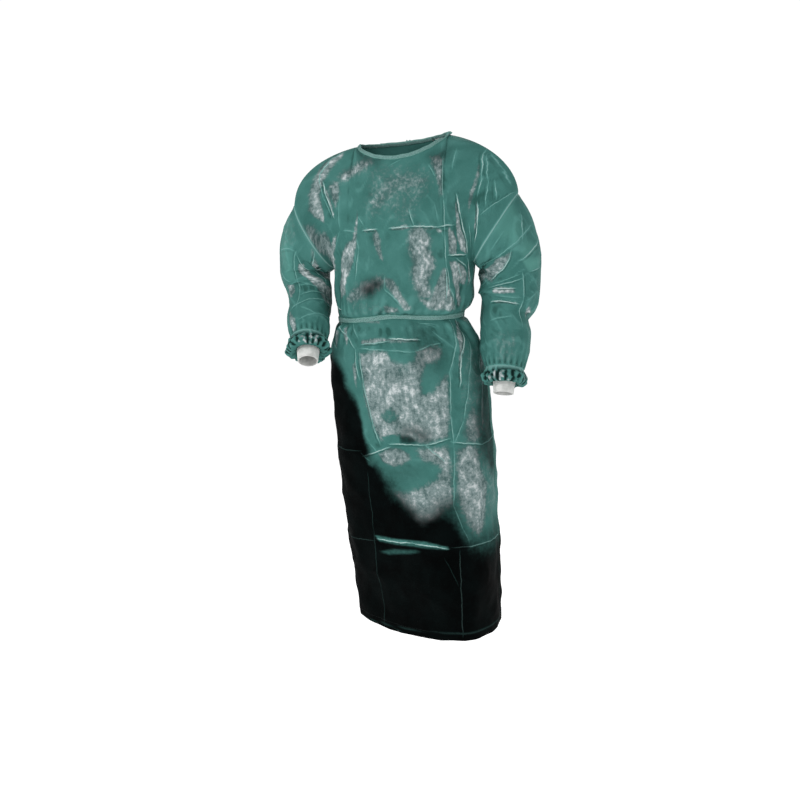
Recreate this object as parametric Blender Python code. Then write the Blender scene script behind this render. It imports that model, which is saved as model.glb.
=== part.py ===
"""A visitor gown in its worn form, with nobody in it: front, two lapped backs, sleeves, knitted cuffs,
neck binding, waist belt and the tied ends of both, cut from one draped surface with the cloth's own wall.

Lengths are in metres. +X is the wearer's left, -Y the front and +Z up. The origin lies midway between
the neck ends of the two shoulder seams. A "drop" is a distance below the origin. An "across" is a
distance over the cloth from the centre front, positive towards the wearer's left.
"""

import math
from collections import namedtuple

import bmesh
import bpy
import numpy as np
from mathutils import Matrix, Vector

# The cloth and how its pieces meet
CLOTH = 0.0015
SEAM_GAP = 0.0004
TAPE = 0.0014

# The cut, measured over the cloth
LENGTH = 1.22
HALF_ROUND = 0.62
SIDE_SEAM = HALF_ROUND / 2
LAP_RISE = 0.0022
LAP_START = 0.45
LAP_FULL = 0.53

# The creases that packing leaves, as ridges
PRESS_FOLD = 0.125
PRESS_DROPS = (0.218, 0.485, 0.735, 0.975)
PRESS_RIDGE = 0.0022
PRESS_NEAR = 0.002

# The neck opening and the shoulders
NECK_ACROSS = 0.155
NECK_ACROSS_BACK = 0.48
NECK_HALF_WIDTH = 0.113
NECK_FRONT = 0.088
NECK_BACK = 0.062
NECK_Y = 0.008
NECK_FRONT_DROP = 0.042
NECK_BACK_DROP = 0.010
NECK_TILT = 0.075
NECK_CURVE = 1.6
SHOULDER_TIP_X = 0.276
SHOULDER_TIP_DROP = 0.140
SHOULDER_STRAIGHT = 0.35
ARMPIT_DROP = 0.300
ARMHOLE_FRONT = 0.080
ARMHOLE_BACK = 0.074
ARMHOLE_POWER = 6

# How round the cloth turns over the shoulders: least at the middle, all of it past a share of the width
ROUNDED_LEAST = 0.35
ROUNDED_WIDTH = 0.6

# The grid that the draped surface is worked out on
FRONT_STEPS = 4
SHOULDER_STEPS = 6
NECK_STEPS = 5
LAP_STEPS = 2
YOKE_ROWS = 10
SLEEVE_ROWS = 14
BELT_DROP = 0.424
BELT_HALF_HEIGHT = 0.006
BELT_ARCH = 0.010
BELT_ARCH_ACROSS = 0.11
BELT_ARCH_DROP = 0.05

# Each stretch of the body ends at a drop and holds some rows
Stretch = namedtuple("Stretch", "end rows")
STRETCHES = (
    Stretch(0.385, 3),
    Stretch(0.406, 1),
    Stretch(BELT_DROP - BELT_HALF_HEIGHT, 1),
    Stretch(BELT_DROP + BELT_HALF_HEIGHT, 2),
    Stretch(0.446, 1),
    Stretch(0.485, 1),
    Stretch(0.735, 4),
    Stretch(0.975, 4),
    Stretch(LENGTH, 4),
)

# One row for each level of the body, from the armpit to the hem
Section = namedtuple("Section", "drop centre_x centre_y half_width front back squareness")
SECTIONS = (
    Section(0.300, -0.011, 0.000, 0.172, 0.128, 0.120, 2.3),
    Section(0.345, -0.014, 0.000, 0.171, 0.130, 0.118, 2.3),
    Section(0.385, -0.018, 0.000, 0.168, 0.130, 0.112, 2.2),
    Section(0.406, -0.021, 0.000, 0.162, 0.122, 0.106, 2.2),
    Section(0.424, -0.025, 0.000, 0.153, 0.109, 0.098, 2.2),
    Section(0.446, -0.025, 0.004, 0.163, 0.114, 0.112, 2.2),
    Section(0.485, -0.022, 0.010, 0.180, 0.124, 0.138, 2.3),
    Section(0.560, -0.020, 0.022, 0.192, 0.130, 0.152, 2.4),
    Section(0.660, -0.016, 0.034, 0.196, 0.138, 0.164, 2.4),
    Section(0.735, -0.015, 0.044, 0.196, 0.146, 0.171, 2.4),
    Section(0.860, -0.011, 0.054, 0.195, 0.160, 0.178, 2.3),
    Section(0.975, -0.009, 0.058, 0.192, 0.170, 0.180, 2.3),
    Section(1.100, -0.007, 0.062, 0.188, 0.172, 0.182, 2.3),
    Section(1.220, -0.006, 0.064, 0.184, 0.172, 0.184, 2.3),
)

# Where the stance carries the skirt: the left knee is forward and the right side back
Push = namedtuple("Push", "across drop across_reach drop_reach x y rise")
PUSHES = (
    Push(0.125, 1.010, 0.150, 0.260, 0.008, -0.045, 0.000),
    Push(-0.140, 1.260, 0.170, 0.300, -0.004, 0.075, 0.006),
    Push(-0.340, 1.250, 0.180, 0.220, 0.002, 0.010, 0.030),
)

# Soft folds. Each is deepest where it starts and has run out where it ends
FOLD_START = 8
TOP_FADE_ROWS = 4
ARMHOLE_FADE = 0.06
Fold = namedtuple("Fold", "across drop end_across end_drop width depth")
BODY_FOLDS = (
    Fold(0.190, 0.436, 0.185, 0.640, 0.026, 0.010),
    Fold(0.235, 0.436, 0.240, 0.560, 0.022, -0.008),
    Fold(0.275, 0.440, 0.290, 0.640, 0.026, 0.008),
    Fold(-0.205, 0.436, -0.215, 0.600, 0.026, 0.009),
    Fold(-0.250, 0.436, -0.260, 0.560, 0.022, -0.008),
    Fold(-0.290, 0.440, -0.300, 0.620, 0.026, 0.008),
    Fold(0.410, 0.440, 0.400, 0.760, 0.034, 0.012),
    Fold(0.480, 0.440, 0.480, 0.700, 0.030, -0.009),
    Fold(-0.410, 0.440, -0.420, 0.740, 0.034, 0.012),
    Fold(-0.480, 0.440, -0.480, 0.720, 0.030, -0.009),
    Fold(0.185, 0.412, 0.160, 0.215, 0.026, 0.009),
    Fold(0.235, 0.412, 0.225, 0.250, 0.024, -0.007),
    Fold(-0.175, 0.412, -0.160, 0.250, 0.026, 0.008),
    Fold(-0.230, 0.412, -0.220, 0.270, 0.024, -0.007),
    Fold(0.400, 0.412, 0.380, 0.260, 0.032, 0.010),
    Fold(-0.400, 0.412, -0.380, 0.260, 0.032, 0.010),
    Fold(0.155, 1.220, 0.150, 0.760, 0.034, 0.008),
    Fold(0.470, 1.220, 0.450, 0.800, 0.050, 0.014),
    Fold(-0.520, 1.220, -0.500, 0.820, 0.050, 0.012),
    Fold(-0.060, 0.400, -0.110, 0.330, 0.040, 0.008),
    Fold(0.050, 0.400, 0.070, 0.330, 0.040, 0.006),
)

# One row for each level of a sleeve, as a share of its length. x is outwards on either side
ArmRing = namedtuple("ArmRing", "along x y drop wide deep")
LEFT_ARM = (
    ArmRing(0.00, 0.2240, 0.000, 0.220, 0.078, 0.078),
    ArmRing(0.16, 0.2475, 0.006, 0.262, 0.074, 0.081),
    ArmRing(0.36, 0.2490, 0.016, 0.326, 0.075, 0.080),
    ArmRing(0.54, 0.2420, 0.012, 0.388, 0.069, 0.074),
    ArmRing(0.68, 0.2310, 0.000, 0.432, 0.060, 0.069),
    ArmRing(0.80, 0.2330, -0.018, 0.478, 0.061, 0.066),
    ArmRing(0.92, 0.2330, -0.038, 0.526, 0.056, 0.060),
    ArmRing(1.00, 0.2310, -0.050, 0.558, 0.045, 0.048),
)
RIGHT_ARM = (
    ArmRing(0.00, 0.2240, 0.000, 0.220, 0.078, 0.078),
    ArmRing(0.18, 0.2570, 0.008, 0.258, 0.066, 0.086),
    ArmRing(0.38, 0.2630, 0.012, 0.312, 0.061, 0.086),
    ArmRing(0.56, 0.2540, -0.004, 0.362, 0.053, 0.080),
    ArmRing(0.72, 0.2460, -0.036, 0.402, 0.050, 0.072),
    ArmRing(0.87, 0.2430, -0.072, 0.440, 0.050, 0.064),
    ArmRing(1.00, 0.2400, -0.096, 0.468, 0.043, 0.050),
)
ARM_BLEND = 0.42
ARM_STEP = 0.01

# Folds of a sleeve. Around runs from the outside, 0, by the front, 0.25, to the inside, 0.5
ARM_ROUND = 0.45
ARM_LENGTH = 0.36
ARM_FADE_START = 0.12
ARM_FADE_END = 0.08
ArmFold = namedtuple("ArmFold", "around along end_around end_along width depth")
ARM_FOLDS = (
    ArmFold(0.42, 0.10, 0.16, 0.30, 0.022, -0.008),
    ArmFold(0.44, 0.34, 0.16, 0.46, 0.020, -0.008),
    ArmFold(0.45, 0.52, 0.14, 0.56, 0.018, 0.007),
    ArmFold(0.46, 0.66, 0.10, 0.68, 0.018, -0.007),
    ArmFold(0.58, 0.12, 0.84, 0.34, 0.022, -0.008),
    ArmFold(0.56, 0.50, 0.86, 0.62, 0.020, -0.007),
)

# The gathered end that droops over the cuff, each row some way past the gather line
Ruffle = namedtuple("Ruffle", "past radius waves")
RUFFLE = (
    Ruffle(0.008, 0.0490, 0.4),
    Ruffle(0.018, 0.0530, 1.0),
    Ruffle(0.028, 0.0520, 1.0),
    Ruffle(0.036, 0.0450, 0.8),
    Ruffle(0.035, 0.0360, 0.3),
    Ruffle(0.029, 0.0281, 0.0),
)
RUFFLE_WAVE = 0.0032
RUFFLE_DIP = 0.0015
RUFFLE_DIPS = 3

CUFF_RADIUS = 0.0275
CUFF_TAPER = 0.0035
CUFF_TOP = 0.022
CUFF_LENGTH = 0.037
CUFF_WALL = 0.0018
CUFF_RIBS = 24
CUFF_RIB = 0.0005
CUFF_ROWS = 3

BINDING_HEIGHT = 0.0095
BINDING_THICKNESS = 0.0034
BELT_SWELL = 0.0010

# The tied ends behind
TIE_WIDTH = 0.013
TIE_ROWS = 18
TIE_SWAY = 0.003
TIE_SPREAD = 0.009
KNOT_SIDES = 12
KNOT_ROWS = 8
Tied = namedtuple("Tied", "wide deep tall length lift apart")
NECK_TIED = Tied(0.0100, 0.0055, 0.0070, 0.150, 0.0016, 0.0074)
BELT_TIED = Tied(0.0120, 0.0065, 0.0095, 0.300, 0.0022, 0.0112)

COLLECTION = "visitor_gown"
Finish = namedtuple("Finish", "name colour roughness")
GOWN_CLOTH = Finish("gown_cloth", (0.061, 0.202, 0.171, 1.0), 0.42)
GOWN_TRIM = Finish("gown_trim", (0.080, 0.255, 0.215, 1.0), 0.50)
CUFF_KNIT = Finish("cuff_knit", (0.86, 0.86, 0.84, 1.0), 0.90)


def clear_scene():
    for old in list(bpy.data.objects):
        bpy.data.objects.remove(old, do_unlink=True)


def table(rows, name):
    return np.array([getattr(row, name) for row in rows], float)


def through(knots, values, at):
    """A smooth curve through the values of a table, read at the places asked for."""
    at = np.clip(np.asarray(at, float), knots[0], knots[-1])
    slopes = np.gradient(values, knots)
    start = np.clip(np.searchsorted(knots, at, side="right") - 1, 0, len(knots) - 2)
    span = knots[start + 1] - knots[start]
    t = (at - knots[start]) / span
    return (
        (2 * t**3 - 3 * t**2 + 1) * values[start]
        + (t**3 - 2 * t**2 + t) * span * slopes[start]
        + (3 * t**2 - 2 * t**3) * values[start + 1]
        + (t**3 - t**2) * span * slopes[start + 1]
    )


def ease(t):
    t = np.clip(t, 0.0, 1.0)
    return t * t * (3 - 2 * t)


def unit(vectors):
    return vectors / np.maximum(np.linalg.norm(vectors, axis=-1, keepdims=True), 1e-12)


def wrapped(across):
    """The same place on the round body, within half a round of the centre front."""
    return (across + HALF_ROUND) % (2 * HALF_ROUND) - HALF_ROUND


def front_columns():
    """The across of each column of the front, from side seam to side seam."""
    middle = np.linspace(0, PRESS_FOLD, FRONT_STEPS + 1)
    shoulder = np.linspace(NECK_ACROSS, SIDE_SEAM, SHOULDER_STEPS + 1)
    half = np.concatenate([middle, shoulder])
    return np.concatenate([-half[:0:-1], half])


def back_columns():
    """The across of each column of the left back, from its side seam to its lapped edge."""
    shoulder = np.linspace(SIDE_SEAM, NECK_ACROSS_BACK, SHOULDER_STEPS + 1)
    step = (HALF_ROUND - NECK_ACROSS_BACK) / NECK_STEPS
    neck = NECK_ACROSS_BACK + step * np.arange(1, NECK_STEPS + LAP_STEPS + 1)
    return np.concatenate([shoulder, neck])


def lower_drops():
    """The drop of each row below the armpit's."""
    drops, top = [], ARMPIT_DROP
    for stretch in STRETCHES:
        drops += list(np.linspace(top, stretch.end, stretch.rows + 1)[1:])
        top = stretch.end
    return np.array(drops)


def body_ring(drop, across):
    """Points of the body's section at one drop, each placed by its share of the whole round."""
    knots = table(SECTIONS, "drop")
    centre_x, centre_y, half_width, front, back, power = (
        float(through(knots, table(SECTIONS, name), drop)) for name in Section._fields[1:]
    )
    turn = np.linspace(-math.pi, math.pi, 721)
    side, ahead = np.sin(turn), np.cos(turn)
    x = half_width * np.sign(side) * np.abs(side) ** (2 / power)
    y = -np.where(ahead > 0, front, back) * np.sign(ahead) * np.abs(ahead) ** (2 / power)
    length = np.concatenate([[0], np.cumsum(np.hypot(np.diff(x), np.diff(y)))])
    share = length / length[-1] - 0.5
    wanted = across / (2 * HALF_ROUND)
    points_x = centre_x + np.interp(wanted, share, x)
    points_y = centre_y + np.interp(wanted, share, y)
    return np.stack([points_x, points_y, np.full_like(points_x, -drop)], axis=-1)


def shift_by_stance(ring, drop, across):
    """One ring of the body moved by the stance, with the belt's arch over the front."""
    for push in PUSHES:
        near = np.exp(-(((across - push.across) / push.across_reach) ** 2))
        near = near * math.exp(-(((drop - push.drop) / push.drop_reach) ** 2))
        ring += near[:, None] * np.array([push.x, push.y, push.rise])
    near = np.exp(-((across / BELT_ARCH_ACROSS) ** 2))
    ring[:, 2] += BELT_ARCH * near * math.exp(-(((drop - BELT_DROP) / BELT_ARCH_DROP) ** 2))
    return ring


def top_edge(across, behind):
    """The shoulder seams and the neckline, where the front and the backs begin."""
    size, side = np.abs(across), np.sign(across)
    if behind:
        neck_start, depth, low = NECK_ACROSS_BACK, NECK_BACK, NECK_BACK_DROP
        turn = (HALF_ROUND - size) / (HALF_ROUND - NECK_ACROSS_BACK) * math.pi / 2
        on_neck = size > NECK_ACROSS_BACK
    else:
        neck_start, depth, low = NECK_ACROSS, -NECK_FRONT, NECK_FRONT_DROP
        turn = size / NECK_ACROSS * math.pi / 2
        on_neck = size < NECK_ACROSS
    inward = np.clip(np.abs(size - SIDE_SEAM) / abs(neck_start - SIDE_SEAM), 0, 1)
    out = (1 - inward) * math.pi / 2
    fall = SHOULDER_STRAIGHT * (1 - inward) + (1 - SHOULDER_STRAIGHT) * (1 - np.cos(out))
    x = NECK_HALF_WIDTH + (SHOULDER_TIP_X - NECK_HALF_WIDTH) * np.sin(out)
    x = np.where(on_neck, NECK_HALF_WIDTH * np.sin(turn), x)
    y = np.where(on_neck, NECK_Y + depth * np.cos(turn), NECK_Y * inward)
    drop = np.where(on_neck, low * np.abs(np.cos(turn)) ** NECK_CURVE, SHOULDER_TIP_DROP * fall)
    return np.stack([side * x, y, NECK_TILT * side * x * inward**2 - drop], axis=-1)


def yoke(across, behind):
    """The rows of cloth from the top edge to the armpit's level."""
    top, low = top_edge(across, behind), body_ring(ARMPIT_DROP, across)
    size = np.abs(across)
    width = (HALF_ROUND - size if behind else size) / SIDE_SEAM
    rounding = ROUNDED_LEAST + (1 - ROUNDED_LEAST) * ease(width / ROUNDED_WIDTH)
    at_armhole = np.clip(width, 0, 1) ** ARMHOLE_POWER
    bulge = (ARMHOLE_BACK if behind else -ARMHOLE_FRONT) * at_armhole
    rows = []
    for share in np.linspace(0, 1, YOKE_ROWS + 1):
        quarter, half = share * math.pi / 2, share * math.pi
        out = rounding * math.sin(quarter) + (1 - rounding) * share
        down = rounding * (1 - math.cos(quarter)) + (1 - rounding) * share
        loop = (1 - math.cos(half)) / 2
        out = out + (loop - out) * at_armhole
        down = down + (loop - down) * at_armhole
        points = top + (low - top) * np.stack([out, out, down], axis=-1)
        points[:, 1] += bulge * math.sin(half)
        rows.append(points)
    return np.array(rows)


def body_grid(across, behind):
    """The plain surface of one panel as a grid of points, with its across and drop at each."""
    place = wrapped(across) if behind else across
    rows = list(yoke(place, behind))
    for drop in lower_drops():
        rows.append(shift_by_stance(body_ring(drop, place), drop, place))
    return np.array(rows)


def grid_triangles(rows, columns, closed):
    """The triangles of a grid of points, every cell cut from its first corner to its third."""
    index = np.arange(rows * columns).reshape(rows, columns)
    if closed:
        index = np.concatenate([index, index[:, :1]], axis=1)
    a, b = index[:-1, :-1].ravel(), index[:-1, 1:].ravel()
    d, c = index[1:, :-1].ravel(), index[1:, 1:].ravel()
    return np.concatenate([np.stack([a, d, c], 1), np.stack([a, c, b], 1)])


def shared_normals(grids, closed_names):
    """Outward normals for the points of several grids, made one where the grids meet."""
    flat = np.concatenate([points.reshape(-1, 3) for points in grids.values()])
    _, index = np.unique(np.round(flat, 6), axis=0, return_inverse=True)
    index = index.reshape(-1)
    total = np.zeros((index.max() + 1, 3))
    start = 0
    for name, points in grids.items():
        triangles = grid_triangles(*points.shape[:2], name in closed_names) + start
        corners = flat[triangles]
        faces = unit(np.cross(corners[:, 1] - corners[:, 0], corners[:, 2] - corners[:, 0]))
        for corner in range(3):
            np.add.at(total, index[triangles[:, corner]], faces)
        start += points.shape[0] * points.shape[1]
    normals = unit(total)[index]
    found, start = {}, 0
    for name, points in grids.items():
        size = points.shape[0] * points.shape[1]
        found[name] = normals[start : start + size].reshape(points.shape)
        start += size
    return found


def fold_height(folds, u, v, fold_round=None):
    """How far the folds of a table lift the cloth at places u along its round and v down it."""
    height = np.zeros(np.broadcast(u, v).shape)
    for u0, v0, u1, v1, width, depth in folds:
        off_u, off_v = u - u0, v - v0
        if fold_round:
            off_u = (off_u + fold_round / 2) % fold_round - fold_round / 2
        run = math.hypot(u1 - u0, v1 - v0)
        du, dv = (u1 - u0) / run, (v1 - v0) / run
        share = (off_u * du + off_v * dv) / run
        aside = (off_v * du - off_u * dv) / width
        strength = np.clip(np.where(share < 0, 1 + FOLD_START * share, 1 - share), 0, 1)
        height += depth * strength * np.exp(-(aside**2))
    return height


def body_height(points, across):
    """The folds of a panel and the ridges of its packing creases, above its plain surface."""
    place, drops = wrapped(across), -points[..., 2]
    height = fold_height(BODY_FOLDS, place[None], drops)
    height[:, np.isclose(np.abs(across), PRESS_FOLD)] += PRESS_RIDGE
    for drop in PRESS_DROPS:
        height += PRESS_RIDGE * (np.abs(drops - drop) < PRESS_NEAR)
    rows = np.arange(len(points))[:, None]
    from_side = np.abs(np.abs(across) - SIDE_SEAM)[None]
    below = ease(rows / TOP_FADE_ROWS)
    beside = np.where(rows < YOKE_ROWS, ease(from_side / ARMHOLE_FADE), 1.0)
    return height * below * beside


def arm_round(side, count):
    """Where each point of a sleeve's ring stands, as a share of the way round by the front."""
    share = np.arange(count) / count
    return share if side < 0 else (1 - share) % 1.0


def arm_path(rings, side, along):
    """Centres, directions and half sizes of a sleeve at places along it."""
    knots = table(rings, "along")
    signs = {"x": side, "y": 1, "drop": -1}

    def centre_at(at):
        return np.stack([sign * through(knots, table(rings, name), at) for name, sign in signs.items()], -1)

    ahead = unit(centre_at(along + ARM_STEP) - centre_at(along - ARM_STEP))
    outward = unit(np.array([side, 0.0, 0.0]) - ahead * ahead[:, :1] * side)
    forward = np.cross(ahead, outward) * side
    wide = through(knots, table(rings, "wide"), along)
    deep = through(knots, table(rings, "deep"), along)
    return centre_at(along), ahead, outward, forward, wide, deep


def ring_of(centre, outward, forward, wide, deep, turn):
    """One ring of points round a centre."""
    return centre + outward * (wide * np.cos(turn))[:, None] + forward * (deep * np.sin(turn))[:, None]


def plain_sleeve(rings, side, armhole):
    """The plain surface of a sleeve, which leaves the armhole's own points and rounds off below it."""
    turn = 2 * math.pi * arm_round(side, len(armhole))
    along = np.linspace(0, 1, SLEEVE_ROWS + 1)
    path = arm_path(rings, side, along)
    centre, _, outward, forward, wide, deep = path
    grid = np.array([ring_of(*parts, turn) for parts in zip(centre, outward, forward, wide, deep)])
    grid += (armhole - grid[0])[None] * (1 - ease(along / ARM_BLEND))[:, None, None]
    return grid, path


def sleeve_height(side, rows, count):
    around = ARM_ROUND * arm_round(side, count)[None]
    along = np.linspace(0, 1, rows)[:, None]
    folds = [
        (f.around * ARM_ROUND, f.along * ARM_LENGTH, f.end_around * ARM_ROUND, f.end_along * ARM_LENGTH)
        + (f.width, f.depth)
        for f in ARM_FOLDS
    ]
    height = fold_height(folds, around, along * ARM_LENGTH, ARM_ROUND)
    return height * ease(along / ARM_FADE_START) * ease((1 - along) / ARM_FADE_END)


def ruffle_rows(path, side, count):
    """The rows of cloth past the gather line, waving and turned in to the cuff."""
    centre, ahead, outward, forward = (part[-1] for part in path[:4])
    turn = 2 * math.pi * arm_round(side, count)
    wave = np.cos(math.pi * np.arange(count))
    rows = []
    for row in RUFFLE:
        radius = row.radius + RUFFLE_WAVE * row.waves * wave
        past = row.past + RUFFLE_DIP * row.waves * np.cos(RUFFLE_DIPS * turn)
        ring = ring_of(centre, outward, forward, radius, radius, turn)
        rows.append(ring + ahead * past[:, None])
    return np.array(rows)


def armhole_loop(panels, side):
    """The points round an armhole: from the shoulder's tip down one panel's edge and up the other's."""
    if side < 0:
        down, up = panels["front"][:, 0], panels["back_right"][:, -1]
    else:
        down, up = panels["back_left"][:, 0], panels["front"][:, -1]
    return np.concatenate([down[: YOKE_ROWS + 1], up[YOKE_ROWS - 1 : 0 : -1]])


def drape():
    """The draped outer surface of every panel, its normals, and the path of each sleeve."""
    across = {"front": front_columns(), "back_left": back_columns()}
    across["back_right"] = -across["back_left"][::-1]
    grids = {name: body_grid(columns, name != "front") for name, columns in across.items()}
    paths = {}
    for name, rings, side in (("sleeve_left", LEFT_ARM, 1), ("sleeve_right", RIGHT_ARM, -1)):
        grids[name], paths[name] = plain_sleeve(rings, side, armhole_loop(grids, side))
    sleeves = set(paths)
    normals = shared_normals(grids, sleeves)
    for name, columns in across.items():
        grids[name] = grids[name] + normals[name] * body_height(grids[name], columns)[..., None]
    for name, side in (("sleeve_left", 1), ("sleeve_right", -1)):
        rows, count = grids[name].shape[:2]
        folded = grids[name] + normals[name] * sleeve_height(side, rows, count)[..., None]
        grids[name] = np.concatenate([folded, ruffle_rows(paths[name], side, count)])
    normals = shared_normals(grids, sleeves)
    for name, way in (("back_left", 1), ("back_right", -1)):
        lap = ease((np.abs(across[name]) - LAP_START) / (LAP_FULL - LAP_START))
        grids[name] = grids[name] + normals[name] * (way * LAP_RISE * lap)[None, :, None]
    return grids, normals, paths, across


def outline_drawn_in(points, normals, closed):
    """The grid with its outline drawn in by half a seam's gap, along the surface."""
    moved = points.copy()
    edges = [((0, slice(None)), (1, slice(None))), ((-1, slice(None)), (-2, slice(None)))]
    if not closed:
        edges += [((slice(None), 0), (slice(None), 1)), ((slice(None), -1), (slice(None), -2))]
    for edge, beside in edges:
        line, normal = points[edge], normals[edge]
        along = np.roll(line, -1, axis=0) - np.roll(line, 1, axis=0)
        if not closed:
            along = np.gradient(line, axis=0)
        inward = points[beside] - line
        for direction in (normal, unit(along)):
            inward = inward - np.sum(inward * direction, axis=1, keepdims=True) * direction
        moved[edge] += unit(inward) * SEAM_GAP / 2
    return moved


def material_of(finish):
    found = bpy.data.materials.get(finish.name)
    if found is None:
        found = bpy.data.materials.new(finish.name)
        found.use_nodes = True
        shader = found.node_tree.nodes["Principled BSDF"]
        shader.inputs["Base Color"].default_value = finish.colour
        shader.inputs["Roughness"].default_value = finish.roughness
        shader.inputs["Metallic"].default_value = 0.0
    return found


def add_object(name, mesh, finish):
    mesh.shade_smooth()
    mesh.set_sharp_from_angle(angle=math.radians(50))
    mesh.materials.append(material_of(finish))
    made = bpy.data.objects.new(name, mesh)
    bpy.data.collections[COLLECTION].objects.link(made)
    return made


def add_wall(name, outer, inner, closed, finish):
    """A closed wall between an outer grid of points and an inner one."""
    rows, columns = outer.shape[:2]
    size = rows * columns
    index = np.arange(size).reshape(rows, columns)
    skin = grid_triangles(rows, columns, closed)
    faces = [skin, skin[:, ::-1] + size]
    ring = np.concatenate([index, index[:, :1]], axis=1) if closed else index
    rims = [(ring[0, 1:], ring[0, :-1]), (ring[-1, :-1], ring[-1, 1:])]
    if not closed:
        rims += [(index[:-1, 0], index[1:, 0]), (index[1:, -1], index[:-1, -1])]
    for first, second in rims:
        faces.append(np.stack([second, first, first + size], 1))
        faces.append(np.stack([second, first + size, second + size], 1))
    points = np.concatenate([outer.reshape(-1, 3), inner.reshape(-1, 3)])
    mesh = bpy.data.meshes.new(name)
    mesh.from_pydata(points.tolist(), [], np.concatenate(faces).tolist())
    return add_object(name, mesh, finish)


def add_panel(name, points, normals, closed):
    outer = outline_drawn_in(points, normals, closed)
    add_wall(name, outer, outer - CLOTH * normals, closed, GOWN_CLOTH)


def add_cuff(name, path, side):
    """A knitted tube with ribs on its outside over a plain inside."""
    centre, ahead, outward, forward = (part[-1] for part in path[:4])
    count = 2 * CUFF_RIBS
    turn = 2 * math.pi * arm_round(side, count)
    rib = CUFF_RIB * np.cos(math.pi * np.arange(count))
    outer, inner = [], []
    for share in np.linspace(0, 1, CUFF_ROWS + 1):
        place = centre + ahead * (CUFF_TOP + CUFF_LENGTH * share)
        radius = np.full(count, CUFF_RADIUS - CUFF_TAPER * share)
        outer.append(ring_of(place, outward, forward, radius + rib, radius + rib, turn))
        inner.append(ring_of(place, outward, forward, radius - CUFF_WALL, radius - CUFF_WALL, turn))
    add_wall(name, np.array(outer), np.array(inner), True, CUFF_KNIT)


# Corners of a tape's section, as shares of its half thickness and its half width
TAPE_CORNERS = ((0, 1.0), (1, 0.55), (1, -0.55), (0, -1.0), (-1, -0.55), (-1, 0.55))


def add_tape(name, centres, normals, sideways, half_width, half_thickness):
    """A soft-edged tape carried along a line, with closed ends."""
    ring = [
        centres + normals * (half_thickness * out) + sideways * (half_width * aside)
        for out, aside in TAPE_CORNERS
    ]
    points = np.stack(ring, axis=1)
    rows, columns = points.shape[:2]
    last = (rows - 1) * columns
    ends = [[0, k, k + 1] for k in range(1, columns - 1)]
    ends += [[last, last + k + 1, last + k] for k in range(1, columns - 1)]
    faces = np.concatenate([grid_triangles(rows, columns, True), ends])
    flat = points.reshape(-1, 3)
    if np.linalg.det(flat[faces] - flat.mean(axis=0)).sum() < 0:
        faces = faces[:, ::-1]
    mesh = bpy.data.meshes.new(name)
    mesh.from_pydata(flat.tolist(), [], faces.tolist())
    return add_object(name, mesh, GOWN_TRIM)


def add_binding(grids, normals):
    """The bound edge round the neck, from one back's lapped edge to the other's."""
    neck = NECK_STEPS + LAP_STEPS
    parts = (
        ("back_right", slice(0, neck)),
        ("front", slice(SHOULDER_STEPS, -SHOULDER_STEPS)),
        ("back_left", slice(-neck, None)),
    )
    line = np.concatenate([grids[name][0, part] for name, part in parts])
    out = np.concatenate([normals[name][0, part] for name, part in parts])
    below = np.concatenate([grids[name][1, part] for name, part in parts])
    upward = line - below
    for direction in (out, unit(np.gradient(line, axis=0))):
        upward = upward - np.sum(upward * direction, axis=1, keepdims=True) * direction
    upward = unit(upward)
    centres = line + upward * (BINDING_HEIGHT + SEAM_GAP) / 2 - out * CLOTH / 2
    add_tape("neck_binding", centres, out, upward, BINDING_HEIGHT / 2, BINDING_THICKNESS / 2)
    knot_at = len(line) - 1 - LAP_STEPS
    return centres[knot_at] + out[knot_at] * BINDING_THICKNESS / 2, out[knot_at]


def add_belt(grids, normals):
    """The waist belt, laid on the panels' own points and closed over the left back's lapped edge."""
    top = YOKE_ROWS + 1 + int(np.argmin(np.abs(lower_drops() - BELT_DROP + BELT_HALF_HEIGHT)))
    rows = slice(top, top + 3)
    first = 2 * LAP_STEPS + 1
    parts = (("back_right", slice(first, None)), ("front", slice(1, None)), ("back_left", slice(1, None)))
    line = np.concatenate([grids[name][rows, part] for name, part in parts], axis=1)
    out = np.concatenate([normals[name][rows, part] for name, part in parts], axis=1)
    inner = line + out * SEAM_GAP
    swell = np.array([0.0, BELT_SWELL, 0.0])[:, None, None]
    outer = inner + out * (TAPE + swell)
    add_wall("belt", outer, inner, True, GOWN_TRIM)
    knot_at = line.shape[1] - 1 - LAP_STEPS
    return outer[1, knot_at], out[1, knot_at]


def add_knot(name, foot, normal, tied):
    """A pulled knot, a ball squashed to its size that stands just off the tape below it."""
    shape = bmesh.new()
    bmesh.ops.create_uvsphere(shape, u_segments=KNOT_SIDES, v_segments=KNOT_ROWS, radius=1.0)
    side = unit(np.cross(normal, [0.0, 0.0, 1.0]))
    up = np.cross(side, normal)
    centre = foot + normal * (tied.deep + SEAM_GAP)
    turn = Matrix([Vector(side), Vector(normal), Vector(up)]).transposed().to_4x4()
    scale = Matrix.Diagonal((tied.wide, tied.deep, tied.tall, 1.0))
    bmesh.ops.transform(shape, matrix=Matrix.Translation(Vector(centre)) @ turn @ scale, verts=shape.verts)
    bmesh.ops.recalc_face_normals(shape, faces=shape.faces)
    mesh = bpy.data.meshes.new(name)
    shape.to_mesh(mesh)
    shape.free()
    return add_object(name, mesh, GOWN_TRIM)


def cloth_at(points, column, drop):
    """The point of a panel's faceted surface at a place between its columns and at a drop."""
    j = min(int(column), points.shape[1] - 2)
    p = column - j
    levels = -((1 - p) * points[:, j, 2] + p * points[:, j + 1, 2])
    row = float(np.interp(drop, levels, np.arange(len(levels))))
    i = min(int(row), len(levels) - 2)
    q = row - i
    a, b, c, d = points[i, j], points[i, j + 1], points[i + 1, j + 1], points[i + 1, j]
    if q >= p:
        return a + q * (d - a) + p * (c - d)
    return a + p * (b - a) + q * (c - b)


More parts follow.
